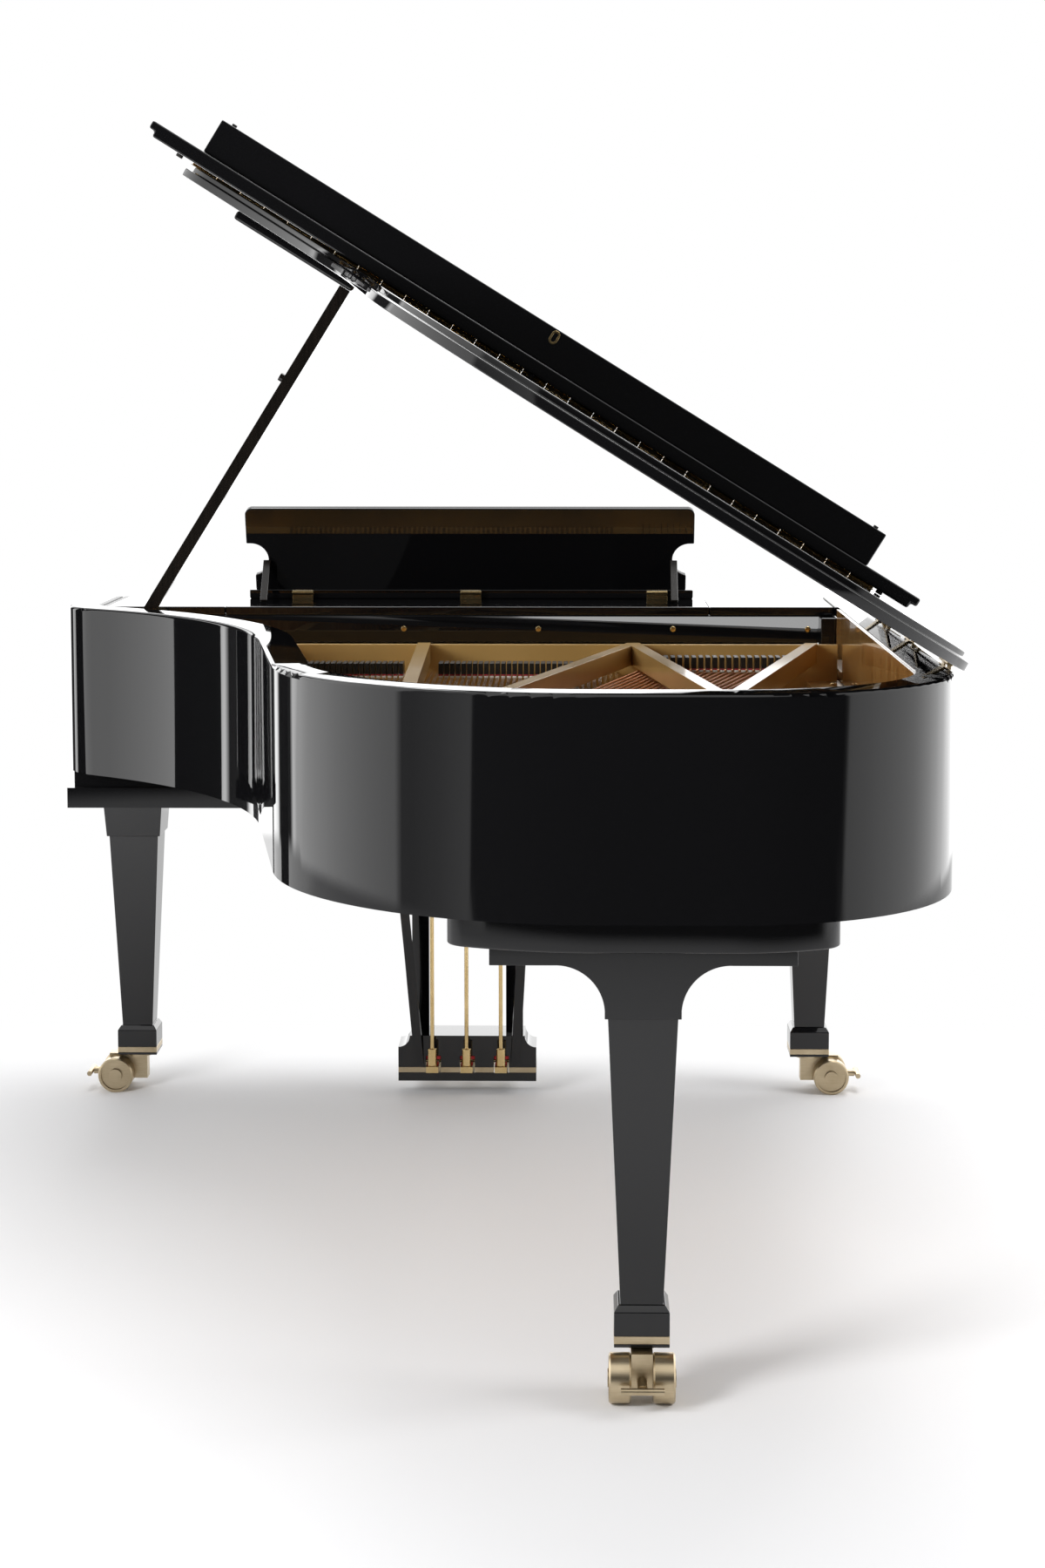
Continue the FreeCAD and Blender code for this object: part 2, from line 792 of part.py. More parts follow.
def make_casters():
    """A swivelling twin-wheel caster under each leg, with a T-handled brake screw."""
    wheel_z = wheel_diameter / 2
    for name, (centre, heading) in leg_places.items():
        axle_y = -caster_trail
        block = slab(-caster_gap / 2, caster_gap / 2, axle_y - fork_reach, fork_reach, wheel_z - fork_drop,
                     leg_bottom - fork_gap)
        plate = rod(V(0, 0, leg_bottom - caster_plate_gap - caster_plate_thickness), UP, caster_plate,
                    caster_plate_thickness)
        stem = rod(V(0, 0, leg_bottom - 1.5 * caster_plate_gap), UP, stem_diameter, stem_length)
        fork = block.fuse([plate, stem]).removeSplitter()
        tube_start = V(0, axle_y - fork_reach, wheel_z)
        tube = rod(tube_start, BACK * -1, brake_tube, brake_reach)
        bar_y = axle_y - fork_reach - brake_reach - brake_neck_length
        bar = rod(V(-brake_bar / 2, bar_y, wheel_z), RIGHT, brake_bar_diameter, brake_bar)
        neck = rod(V(0, axle_y - fork_reach - brake_reach, wheel_z), BACK * -1, brake_neck,
                   brake_neck_length)
        brake = tube.fuse([neck, bar]).removeSplitter()
        side = caster_gap / 2 + seat_gap
        axle_half = side + wheel_width
        axle = rod(V(-axle_half, axle_y, wheel_z), RIGHT, axle_diameter, 2 * axle_half)
        wheels = [axle]
        for sign in (-1, 1):
            begin = V(sign * side, axle_y, wheel_z)
            out = RIGHT * sign
            tyre = rod(begin, out, wheel_diameter, wheel_width)
            tyre = tyre.makeChamfer(tyre_chamfer, [e for e in tyre.Edges if e.Length > wheel_diameter])
            face = begin + out * (wheel_width - wheel_recess)
            recess = rod(face, out, wheel_diameter - 2 * wheel_lip, wheel_recess + 1)
            tyre = tyre.cut(recess)
            hub = rod(face, out, hub_diameter, wheel_recess + hub_rise)
            wheels += [tyre, hub]
        pair = wheels[0].fuse(wheels[1:]).removeSplitter()
        bore = rod(V(-caster_gap, axle_y, wheel_z), RIGHT, axle_diameter + 2 * fit, 2 * caster_gap)
        fork = fork.cut(bore)
        for shape in (fork, pair, brake):
            shape.rotate(V(0, 0, 0), UP, heading)
            shape.translate(V(centre.x, centre.y, 0))
        pieces["caster_fork_" + name] = group_of([fork, brake])
        pieces["caster_wheels_" + name] = pair


pedal_names = ("left", "middle", "right")


def pedal_x(index):
    """Where each pedal lies across the lyre."""
    return lyre_x + (index - 1) * pedal_spacing


def make_lyre():
    """Pedal box on two posts, with diagonal braces, three pedals and their rods."""
    top = lyre_bottom + lyre_box_height
    half = lyre_width / 2
    box = slab(lyre_x - half, lyre_x + half, lyre_front, lyre_back, lyre_bottom, top)
    cap = slab(lyre_x - half, lyre_x + half, lyre_front, lyre_back, top, top + lyre_bevel)
    for sign in (-1, 1):
        hollow = V(lyre_x + sign * half, lyre_front - 1, top + lyre_bevel)
        cap = cap.cut(rod(hollow, BACK, 2 * lyre_cap_inset, lyre_back - lyre_front + 2))
    box = box.fuse(cap).removeSplitter()
    band_low = lyre_bottom + lyre_band_low
    band = slab(lyre_x - half, lyre_x + half, lyre_front, lyre_back, band_low, band_low + band_height)
    band = band.cut(slab(lyre_x - half + band_groove, lyre_x + half - band_groove, lyre_front + band_groove,
                         lyre_back - band_groove, band_low - 1, band_low + band_height + 1))
    box = box.cut(band)
    pins = []
    felts = []
    for index, name in enumerate(pedal_names):
        x = pedal_x(index)
        slot_half = pedal_width / 2 + pedal_clear
        slot = slab(x - slot_half, x + slot_half, lyre_front - 1, lyre_back + 1,
                    pedal_height - pedal_slot / 2, pedal_height + pedal_slot / 2)
        box = box.cut(slot)
        band = band.cut(slot)
        pin = rod(V(x - slot_half - pin_end, pedal_pivot_y, pedal_height), RIGHT, pivot_pin,
                  2 * (slot_half + pin_end))
        box = box.cut(pin)
        pins.append(pin)
        felt_top = pedal_height + pedal_slot / 2
        for y in (lyre_front + felt_inset, lyre_back - felt_inset - felt_depth):
            felts.append(slab(x - slot_half, x + slot_half, y, y + felt_depth,
                              felt_top - felt_thickness, felt_top))
        w = pedal_width / 2
        t = pedal_thickness / 2
        toe_y = pedal_front + toe_reach
        bar = slab(x - w, x + w, toe_y, rod_y + pedal_heel, pedal_height - t, pedal_height + t)
        toe = Part.makeCylinder(w + toe_flare, pedal_thickness, V(x, toe_y, pedal_height - t), UP)
        pedal = bar.fuse(toe).removeSplitter()
        bore = rod(V(x - w - 1, pedal_pivot_y, pedal_height), RIGHT, pivot_pin + 2 * fit, pedal_width + 2)
        pieces["pedal_" + name] = pedal.cut(bore)
        low = pedal_height + t + seat_gap
        cup = rod(V(x, rod_y, low), UP, cup_diameter, cup_height)
        stick = rod(V(x, rod_y, low + cup_height), UP, rod_diameter,
                    keybed_bottom - low - cup_height + rod_seat)
        pieces["pedal_rod_" + name] = cup.fuse(stick).removeSplitter()
        hole = rod(V(x, rod_y, keybed_bottom - 1), UP, rod_diameter + rod_play, keybed_drop + 2)
        pieces["keybed"] = pieces["keybed"].cut(hole)
    pieces["lyre_box"] = box
    pieces["leg_bands"] = group_of(pieces["leg_bands"].Solids + band.Solids)
    pieces["pedal_pins"] = group_of(pins)
    pieces["pedal_felts"] = group_of(felts)
    posts = []
    for sign in (-1, 1):
        x = lyre_x + sign * post_spacing / 2
        y = (lyre_front + lyre_back) / 2
        posts.append(slab(x - post_width / 2, x + post_width / 2, y - post_width / 2, y + post_width / 2,
                          top + lyre_bevel, keybed_bottom - lyre_head))
    head = slab(lyre_x - half + head_inset, lyre_x + half - head_inset,
                lyre_front + head_setback, lyre_back - head_setback,
                keybed_bottom - lyre_head, keybed_bottom)
    braces = []
    for sign in (-1, 1):
        low = V(lyre_x + sign * brace_low_x, lyre_back, lyre_bottom + brace_rise)
        high = V(lyre_x + sign * brace_top_x, brace_back, keybed_bottom)
        aside = RIGHT * (brace_width / 2)
        low_end = [low - aside, low + aside, low + aside + UP * brace_depth, low - aside + UP * brace_depth]
        behind = high + BACK * brace_depth
        high_end = [behind - aside, behind + aside, high + aside, high - aside]
        loops = [Part.makePolygon(end + end[:1]) for end in (low_end, high_end)]
        braces.append(Part.makeLoft(loops, True, True))
    pieces["lyre_posts"] = group_of(posts + [head] + braces)


def has_sharp(number):
    """Whether a black key follows this white key, counted from the lowest A."""
    return 0 <= number < white_count - 1 and number % 7 not in (1, 4)


def make_keyboard():
    """Key frame, white and black keys, slip, cheeks, fallboard and stretcher."""
    side = half_width - rim_wall
    span = white_count * white_pitch
    low = rim_bottom
    keys_low = low + frame_height + key_lift
    keys_top = keys_low + key_height
    frame = slab(-span / 2, span / 2, white_front + frame_setback, key_back, low, low + frame_height)
    balance = slab(-span / 2, span / 2, balance_y - balance_width / 2, balance_y + balance_width / 2,
                   low + frame_height, keys_low - seat_gap)
    pieces["key_frame"] = frame.fuse(balance).removeSplitter()
    whites = []
    for i in range(white_count):
        x = -span / 2 + i * white_pitch
        head = slab(x + white_gap / 2, x + white_pitch - white_gap / 2, white_front,
                    white_front + white_length - sharp_length, keys_low, keys_top)
        room = [sharp_room if has_sharp(number) else white_gap / 2 for number in (i - 1, i)]
        tail = slab(x + room[0], x + white_pitch - room[1], white_front + white_length - sharp_length,
                    key_back, keys_low, keys_top)
        whites.append(head.fuse(tail).removeSplitter())
    pieces["white_keys"] = group_of(whites)
    sharps = []
    for i in filter(has_sharp, range(white_count)):
        x = -span / 2 + (i + 1) * white_pitch
        h = sharp_width / 2
        y = white_front + white_length - sharp_length + 1
        points = [V(x - h, y, keys_low), V(x - h, key_back, keys_low),
                  V(x - h, key_back, keys_top), V(x - h, white_front + white_length + sharp_step, keys_top),
                  V(x - h, white_front + white_length + sharp_step, keys_top + sharp_rise),
                  V(x - h, y + sharp_slope, keys_top + sharp_rise)]
        sharps.append(polygon(points, RIGHT * sharp_width))
    pieces["black_keys"] = group_of(sharps)
    slip_y = white_front - slip_gap - slip_thickness
    blocks = [slab(-side, side, slip_y, slip_y + slip_thickness, low, low + slip_height)]
    for sign in (-1, 1):
        x = sorted((sign * side, sign * (side - cheek_width)))
        blocks.append(slab(x[0], x[1], slip_y + slip_thickness, fall_axis_y - cheek_setback,
                           low, keys_top + cheek_rise))
    pieces["key_slip_and_blocks"] = group_of(blocks)
    leaf_half = side - fall_clear
    board = slab(-leaf_half, leaf_half, fall_axis_y, fall_axis_y + fall_thickness,
                 fall_axis_z + fall_foot, fall_axis_z + fall_height)
    lip_half = side - cheek_width - fall_clear
    lip = slab(-lip_half, lip_half, fall_axis_y - fall_lip, fall_axis_y,
               fall_axis_z + fall_height - lip_height, fall_axis_z + fall_height)
    foot = slab(-leaf_half, leaf_half, fall_axis_y, fall_axis_y + fall_foot, fall_axis_z - fall_foot_drop,
                fall_axis_z + fall_foot)
    pins = [rod(V(sign * leaf_half, fall_axis_y + fall_foot / 2, fall_axis_z), RIGHT * sign, fall_pin,
                fall_pin_length) for sign in (-1, 1)]
    pieces["fallboard"] = board.fuse([lip, foot] + pins).removeSplitter()
    for sign in (-1, 1):
        bore = rod(V(sign * (side - 1), fall_axis_y + fall_foot / 2, fall_axis_z), RIGHT * sign,
                   fall_pin + 2 * fit, fall_bore_depth)
        pieces["rim"] = pieces["rim"].cut(bore)
    shelf_low = rim_top - shelf_drop - shelf_thickness
    pieces["stretcher"] = slab(-side, side, stretcher_front, stretcher_front + stretcher_thickness,
                               fall_axis_z + fall_height + stretcher_clear, shelf_low)


def make_action():
    """Hammer row on its rail, and the dampers that stand on the strings."""
    rail_low = rim_bottom + frame_height + key_lift + key_height + action_rise
    side = half_width - rim_wall - action_inset
    front = hammer_y - rail_reach
    back = front + rail_depth
    beam_low = rail_low - rail_height
    rail = [slab(-side, side, front, back, beam_low, rail_low)]
    for sign in (-1, 1):
        x = sorted((sign * side, sign * (side - rail_post)))
        rail.append(slab(x[0], x[1], front, back, rim_bottom, beam_low))
    pieces["action_rail"] = group_of(rail)
    hammers = []
    for x in spread_places((-hammer_span_share, hammer_span_share), hammer_count):
        x -= hammer_thickness / 2
        points = [V(x, hammer_y - hammer_reach, rail_low), V(x, hammer_y - hammer_nose, rail_low),
                  V(x, hammer_y - hammer_nose, rail_low + hammer_nose_height),
                  V(x, hammer_y - hammer_crown, rail_low + hammer_height),
                  V(x, hammer_y - hammer_reach, rail_low + hammer_heel)]
        hammers.append(polygon(points, RIGHT * hammer_thickness))
    pieces["hammers"] = group_of(hammers)


def near_strut(x, y):
    """Whether a damper at this place would meet a strut."""
    for shares in strut_shares:
        begin, end = [case_width * share for share in shares]
        centre = begin + (end - begin) * (y - plate_web_back) / (string_room * strut_run_share)
        if abs(x - centre) < strut_width / 2 + damper_width + damper_clear:
            return True
    return False


def make_dampers():
    """Felt pads on the strings with black blocks above them."""
    felts = []
    blocks = []
    rows = [(x, string_z + plain_width) for x in plain_places if x < case_width * damper_limit_share]
    shift = wound_lean * (damper_y + damper_depth / 2 - plate_web_back)
    rows += [(x + shift, bass_z + wound_width) for x in wound_places]
    for x, low in rows:
        if near_strut(x, damper_y) or near_strut(x, damper_y + damper_depth):
            continue
        h = damper_width / 2
        felts.append(slab(x - h, x + h, damper_y, damper_y + damper_depth, low, low + damper_felt))
        blocks.append(slab(x - h, x + h, damper_y, damper_y + damper_depth, low + damper_felt,
                           low + damper_felt + damper_block))
    pieces["damper_felts"] = group_of(felts)
    pieces["damper_heads"] = group_of(blocks)


shelf_top = rim_top - shelf_drop
desk_axis = V(0, desk_foot_y, shelf_top + desk_foot_gap)


def make_desk():
    """Shelf across the arms with the leaning desk, its hinges and its two struts."""
    side = half_width - rim_wall
    low = shelf_top - shelf_thickness
    middle = desk_width / 2 + wing_margin
    boards = [slab(-middle, middle, shelf_front, shelf_back, low, shelf_top)]
    for sign in (-1, 1):
        x = sorted((sign * (middle + wing_gap), sign * (side - wing_gap)))
        boards.append(slab(x[0], x[1], shelf_front, shelf_back, low, shelf_top))
    boards.append(slab(-desk_width / 2, desk_width / 2, ledge_front, desk_axis.y - ledge_clear,
                       shelf_top, shelf_top + ledge_height))
    pieces["desk_shelf"] = group_of(boards)
    rails = []
    for sign in (-1, 1):
        x = sorted((sign * side, sign * (side - side_rail_width)))
        rails.append(slab(x[0], x[1], stretcher_front + stretcher_thickness, shelf_back,
                          low - side_rail_height, low))
        x = sorted((sign * side, sign * (side - rail_end_width)))
        end_block = slab(x[0], x[1], shelf_back, shelf_back + rail_end_depth, low - rail_end_height, low)
        rails.append(end_block.common(plan_solid(rim_wall, 0, 0, rim_top)))
    rail_side = side - side_rail_width
    rails.append(slab(-rail_side, rail_side, shelf_back - back_rail_thickness, shelf_back,
                      low - back_rail_height, low))
    pieces["desk_rails"] = group_of(rails)
    screw_span = ((rail_end_width + screw_inset - side) / case_width, screw_last_share)
    screws = [rod(V(x, shelf_back, low - screw_drop), BACK, screw_head, screw_head_rise)
              for x in spread_places(screw_span, screw_count)]
    pieces["desk_screws"] = group_of(screws)
    half = desk_width / 2
    panel = slab(-half, half, desk_axis.y - desk_thickness, desk_axis.y, desk_axis.z + hinge_clear,
                 desk_axis.z + desk_height)
    corners = [e for e in panel.Edges if e.BoundBox.XLength < tolerance and e.BoundBox.ZLength < tolerance
               and e.BoundBox.ZMin > desk_axis.z + desk_height - 1]
    panel = panel.makeFillet(desk_top_round, corners)
    notch_radius = (desk_notch_high - desk_notch_low) / 2
    front = desk_axis.y - desk_thickness - 1
    back = desk_axis.y + 1
    for sign in (-1, 1):
        notch_x = sign * (half - desk_notch_depth + notch_radius)
        notch_z = desk_axis.z + desk_notch_low + notch_radius
        panel = panel.cut(rod(V(notch_x, front, notch_z), BACK, 2 * notch_radius, desk_thickness + 2))
        x = sorted((notch_x, sign * (half + 1)))
        panel = panel.cut(slab(x[0], x[1], front, back, notch_z - notch_radius, notch_z + notch_radius))
        x = sorted((sign * (half - desk_foot_inset), sign * (half + 1)))
        panel = panel.cut(slab(x[0], x[1], front, back, desk_axis.z, notch_z))
    hinges = []
    hinge_y = desk_axis.y - desk_thickness / 2
    for share in desk_hinge_shares:
        x = desk_width * share - desk_hinge_width / 2
        stand = slab(x, x + desk_hinge_width, hinge_y - stand_front, desk_axis.y + stand_back, shelf_top,
                     desk_axis.z - stand_drop)
        knuckle = rod(V(x, desk_axis.y, desk_axis.z), RIGHT, 2 * (hinge_clear - seat_gap), desk_hinge_width)
        hinges.append(stand.fuse(knuckle).removeSplitter())
    pieces["desk_hinges"] = group_of(hinges)
    struts = []
    lean = math.radians(desk_lean)
    back = strut_thick / 2 + 1
    pivot = V(0, desk_axis.y + strut_pivot * math.sin(lean) + back * math.cos(lean),
              desk_axis.z + strut_pivot * math.cos(lean) - back * math.sin(lean))
    slope = math.radians(strut_slope)
    strut_length = (pivot.z - shelf_top - seat_gap - strut_thick / 2 * math.cos(slope)) / math.sin(slope)
    way = V(0, math.cos(slope), -math.sin(slope))
    wide = V(0, math.sin(slope), math.cos(slope)) * (strut_thick / 2)
    for sign in (-1, 1):
        x = sign * (half - strut_end) - strut_wide / 2
        points = [pivot - wide, pivot + way * strut_length - wide, pivot + way * strut_length + wide,
                  pivot + wide]
        struts.append(polygon([q + RIGHT * x for q in points], RIGHT * strut_wide))
    pieces["desk_struts"] = group_of(struts)
    panel.rotate(desk_axis, RIGHT, -desk_lean)
    pieces["desk_panel"] = panel


def in_lid_pose(shape):
    """Turns a piece of the closed lid to the angle at which the prop holds it."""
    shape.rotate(lid_axis, BACK, -lid_angle)
    return shape


def folded(shape):
    """Turns a piece of the closed flap over on to the lid, then up with the lid."""
    shape.rotate(fold_axis, RIGHT, -180)
    return in_lid_pose(shape)


def lid_board(front, back_cut):
    """A board of the lid: a wide lower layer and a narrower upper one."""
    window = slab(-case_width, case_width, front, back_cut, 0, 2 * rim_top)
    lower = plan_solid(-lid_overhang, 0, lid_bottom, lid_bottom + lid_lower).common(window)
    upper = plan_solid(lid_step - lid_overhang, 0, lid_bottom + lid_lower, lid_top).common(window)
    return lower.fuse(upper).removeSplitter()


hinge_first = fold_y + hinge_from_fold
hinge_last = case_length - tail_bass_radius - hinge_from_tail
case_hinge_places = (hinge_first, (hinge_first + hinge_last) / 2, hinge_last)


def oval(length, width, y):
    """A flat oval that stands across the skirt, near its free edge."""
    z = lid_bottom - skirt_height + escutcheon_width
    straight = (length - width) / 2
    bar = slab(-width / 2, width / 2, y, y + escutcheon_thickness, z - straight, z + straight)
    ends = [rod(V(0, y, z + sign * straight), BACK, width, escutcheon_thickness) for sign in (-1, 1)]
    return bar.fuse(ends).removeSplitter()


def make_lid():
    """Main lid, batten, flap, skirt, hinges, bumpers and prop."""
    main = lid_board(fold_y + fold_clear, case_length + lid_overhang)
    fixed_leaves = []
    lid_leaves = []
    for y in case_hinge_places:
        notch = slab(lid_axis.x - lid_leaf_reach, lid_axis.x + case_hinge_diameter / 2 + 1, y - 2,
                     y + case_hinge_length + 2, lid_bottom - 1, lid_axis.z + case_hinge_diameter / 2 + 1)
        main = main.cut(notch)
        third = case_hinge_length / 3
        for part in range(3):
            barrel = rod(lid_axis + BACK * (y + part * third + knuckle_play), BACK, case_hinge_diameter,
                         third - 2 * knuckle_play)
            if part == 1:
                leaf = slab(lid_axis.x, -half_width + lid_leaf_reach, y + third + knuckle_play,
                            y + 2 * third - knuckle_play,
                            lid_bottom - case_leaf, lid_bottom)
                lid_leaves.append(barrel.fuse(leaf).removeSplitter())
            else:
                leaf = slab(-half_width - case_leaf, -half_width, y + part * third + knuckle_play,
                            y + (part + 1) * third - knuckle_play,
                            rim_top - case_leaf_height, rim_top - rim_edge_round)
                web = slab(lid_axis.x, -half_width - 1, y + part * third + knuckle_play,
                           y + (part + 1) * third - knuckle_play,
                           rim_top - hinge_web, rim_top - rim_edge_round)
                riser = slab(lid_axis.x - 1, lid_axis.x + 1, y + part * third + knuckle_play,
                             y + (part + 1) * third - knuckle_play, rim_top - hinge_web, lid_axis.z)
                fixed_leaves.append(barrel.fuse([leaf, web, riser]).removeSplitter())
    pieces["case_hinges"] = group_of(fixed_leaves)
    pieces["lid_main"] = in_lid_pose(main)
    flap = lid_board(flap_front, fold_y - fold_clear)
    pieces["lid_flap"] = folded(flap)
    skirt_y = flap_front + skirt_setback
    skirt = slab(skirt_from - half_width, skirt_to - half_width, skirt_y, skirt_y + skirt_thickness,
                 lid_bottom - skirt_height, lid_bottom)
    pieces["flap_skirt"] = folded(skirt)
    lid_side = []
    flap_side = []
    count = int((case_width - hinge_margin) / knuckle_pitch)
    begin = -count * knuckle_pitch / 2
    end = begin + count * knuckle_pitch
    for i in range(count):
        x = begin + i * knuckle_pitch
        barrel = rod(V(x + seat_gap, fold_y, fold_axis.z), RIGHT, knuckle_diameter,
                     knuckle_pitch - 2 * seat_gap)
        (lid_side if i % 2 else flap_side).append((x, barrel))
    leaves = {}
    for name, run, sign in (("lid", lid_side, 1), ("flap", flap_side, -1)):
        strip_y = sorted((fold_y + sign * fold_clear, fold_y + sign * leaf_width))
        leaf = slab(begin, end, strip_y[0], strip_y[1], lid_top, lid_top + leaf_thickness)
        links = []
        for x, barrel in run:
            tongue_y = sorted((fold_y, fold_y + sign * fold_clear))
            links.append(slab(x + seat_gap, x + knuckle_pitch - seat_gap, tongue_y[0], tongue_y[1],
                              lid_top, lid_top + leaf_thickness))
            links.append(barrel)
        leaves[name] = leaf.fuse(links).removeSplitter()
    pieces["lid_hinges"] = in_lid_pose(group_of(lid_leaves + [leaves["lid"]]))
    pieces["flap_hinge"] = folded(leaves["flap"])
    bumpers = []
    for x in (bumper_inset - half_width, 0, half_width - bumper_inset):
        bumpers.append(rod(V(x, flap_front + bumper_setback, lid_top), UP, bumper_diameter,
                           fold_gap - seat_gap))
    for x in (skirt_from - half_width + skirt_bumper_inset, skirt_to - half_width - skirt_bumper_inset):
        foot = lid_bottom - skirt_height - skirt_bumper_rise
        bumpers.append(rod(V(x, skirt_y + skirt_thickness / 2, foot), UP,
                           skirt_bumper, skirt_bumper_rise))
    pieces["flap_bumpers"] = folded(group_of(bumpers))
    plate = oval(escutcheon_length, escutcheon_width, skirt_y + skirt_thickness)
    plate = plate.cut(oval(escutcheon_length - 2 * escutcheon_wall, escutcheon_width - 2 * escutcheon_wall,
                           skirt_y + skirt_thickness))
    pieces["lock_escutcheon"] = folded(plate)
    make_prop()


def make_prop():
    """The prop stick, square to the lid, standing in a bracket on the treble side."""
    angle = math.radians(lid_angle)
    along = V(math.cos(angle), 0, math.sin(angle))
    normal = V(-math.sin(angle), 0, math.cos(angle))
    base = V(prop_x, prop_y, prop_base_z)
    reach = (base - lid_axis).dot(normal)
    under = lid_bottom - lid_axis.z - batten_height
    length = under - reach - prop_clear
    foot = (base - lid_axis).dot(along)
    h = prop_width / 2
    t = prop_thickness / 2
    start = base + normal * -prop_heel
    points = [start + along * -h, start + along * h, base + normal * length + along * h,
              base + normal * length + along * -h]
    stick = polygon([p + BACK * -t for p in points], BACK * prop_thickness)
    pin_hole = rod(base + BACK * (-t - 1), BACK, prop_pin + 2 * fit, prop_thickness + 2)
    knob_at = base + normal * (length * knob_share) + along * h
    pieces["lid_prop"] = group_of([stick.cut(pin_hole), rod(knob_at, along, prop_knob, knob_rise)])
    ears = []
    for sign in (-1, 1):
        y = sorted((prop_y + sign * (t + seat_gap), prop_y + sign * (t + ear_thickness)))
        ears.append(slab(prop_x - ear_reach, half_width, y[0], y[1], bracket_low, prop_base_z - ear_drop))
        ears.append(rod(V(prop_x, y[0], prop_base_z - ear_drop), BACK, 2 * ear_reach, y[1] - y[0]))
    seat = slab(prop_x - ear_reach, half_width, prop_y - t - ear_thickness, prop_y + t + ear_thickness,
                bracket_low - bracket_seat, bracket_low)
    pin = rod(base + BACK * (-t - ear_thickness), BACK, prop_pin, prop_thickness + 2 * ear_thickness)
    bracket = seat.fuse(ears + [pin]).removeSplitter()
    pieces["prop_bracket"] = bracket.common(plan_solid(rim_wall + lining_thickness, 0, 0, 2 * rim_top))
    batten_low = lid_bottom - batten_height
    batten_x = lid_axis.x + foot
    batten = slab(batten_x - batten_end, batten_x - batten_end + batten_length, prop_y - batten_width / 2,
                  prop_y + batten_width / 2, batten_low, lid_bottom)
    pieces["lid_batten"] = in_lid_pose(batten)


def main():
    make_case()
    make_soundboard()
    make_plate()
    make_strings()
    make_legs()
    make_casters()
    make_lyre()
    make_keyboard()
    make_action()
    make_dampers()
    make_desk()
    make_lid()
    box = Part.Compound(list(pieces.values())).optimalBoundingBox(False, False)
    shift = V(-(box.XMin + box.XMax) / 2, -(box.YMin + box.YMax) / 2, -box.ZMin)
    print("shift", shift, "size", box.XLength, box.YLength, box.ZLength)
    os.makedirs("parts", exist_ok=True)
    for name, shape in pieces.items():
        shape.translate(shift)
        shape.exportStep("parts/" + name + ".step")


main()
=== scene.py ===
"""Looks of the grand piano: polished black case, bronze plate, strings, brass fittings and studio light.

Metres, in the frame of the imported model: X runs from bass (minus) to treble, Y from keyboard to tail.
"""
import json
import math

import bpy
from mathutils import Matrix, Vector
from mathutils.bvhtree import BVHTree

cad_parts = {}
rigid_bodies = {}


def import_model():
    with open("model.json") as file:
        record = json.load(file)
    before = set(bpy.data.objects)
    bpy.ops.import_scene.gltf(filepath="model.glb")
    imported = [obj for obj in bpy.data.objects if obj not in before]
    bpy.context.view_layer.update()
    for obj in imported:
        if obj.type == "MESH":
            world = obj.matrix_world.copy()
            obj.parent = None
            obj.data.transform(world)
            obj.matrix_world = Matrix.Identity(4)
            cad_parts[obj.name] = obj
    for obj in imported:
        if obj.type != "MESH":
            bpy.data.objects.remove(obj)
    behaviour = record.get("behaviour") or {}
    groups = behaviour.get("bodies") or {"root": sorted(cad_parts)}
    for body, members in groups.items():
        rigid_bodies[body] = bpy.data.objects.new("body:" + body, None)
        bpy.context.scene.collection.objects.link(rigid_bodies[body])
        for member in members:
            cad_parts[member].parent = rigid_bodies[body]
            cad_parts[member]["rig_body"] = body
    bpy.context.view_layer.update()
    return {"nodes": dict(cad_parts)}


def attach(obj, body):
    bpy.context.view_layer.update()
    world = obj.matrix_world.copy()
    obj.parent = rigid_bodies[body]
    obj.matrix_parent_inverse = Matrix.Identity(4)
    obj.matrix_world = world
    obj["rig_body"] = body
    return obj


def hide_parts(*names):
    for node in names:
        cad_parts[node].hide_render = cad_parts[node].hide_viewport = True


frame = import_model()
nodes = frame["nodes"]
finishes = {}


class Value:
    """A socket of a node tree. Arithmetic on it adds Math nodes."""

    def __init__(self, tree, socket):
        self.tree = tree
        self.socket = socket

    def math(self, operation, other, swapped=False):
        """One Math node on this value and another, or on the other one first."""
        first, second = (other, self) if swapped else (self, other)
        return self.tree.node("ShaderNodeMath", {"operation": operation}, {0: first, 1: second})

    def __add__(self, other):
        return self.math("ADD", other)

    __radd__ = __add__

    def __rsub__(self, other):
        return self.math("SUBTRACT", other, swapped=True)

    def __mul__(self, other):
        return self.math("MULTIPLY", other)

    def __truediv__(self, other):
        return self.math("DIVIDE", other)


class NodeTree:
    """Builds the nodes of a material or of the world."""

    def __init__(self, tree):
        self.tree = tree

    def node(self, kind, settings=None, inputs=None, output=0):
        """Adds one node: its settings first, then the values or links of its sockets."""
        made = self.tree.nodes.new(kind)
        for name, setting in (settings or {}).items():
            if name == "stops":
                self.set_stops(made.color_ramp, setting)
            else:
                setattr(made, name, setting)
        for name, value in (inputs or {}).items():
            if isinstance(value, Value):
                self.feed(made, name, value)
            else:
                made.inputs[name].default_value = value
        return made if output is None else Value(self, made.outputs[output])

    def outputs(self, kind, names, inputs=None):
        """Several outputs of one new node."""
        made = self.node(kind, {}, inputs, None)
        return [Value(self, made.outputs[name]) for name in names]

    def set_stops(self, ramp, stops):
        """Gives a colour ramp its stops."""
        while len(ramp.elements) < len(stops):
            ramp.elements.new(1.0)
        for element, (place, color) in zip(ramp.elements, stops):
            element.position = place
            element.color = (*color, 1.0)

    def feed(self, node, name, value):
        """Links a value to a socket of a node."""
        self.tree.links.new(value.socket, node.inputs[name])

    def soft_step(self, value, start, end):
        """Rises softly from 0 to 1 while the value goes from start to end."""
        return self.node("ShaderNodeMapRange", {"interpolation_type": "SMOOTHSTEP"},
                         {"Value": value, "From Min": start, "From Max": end})


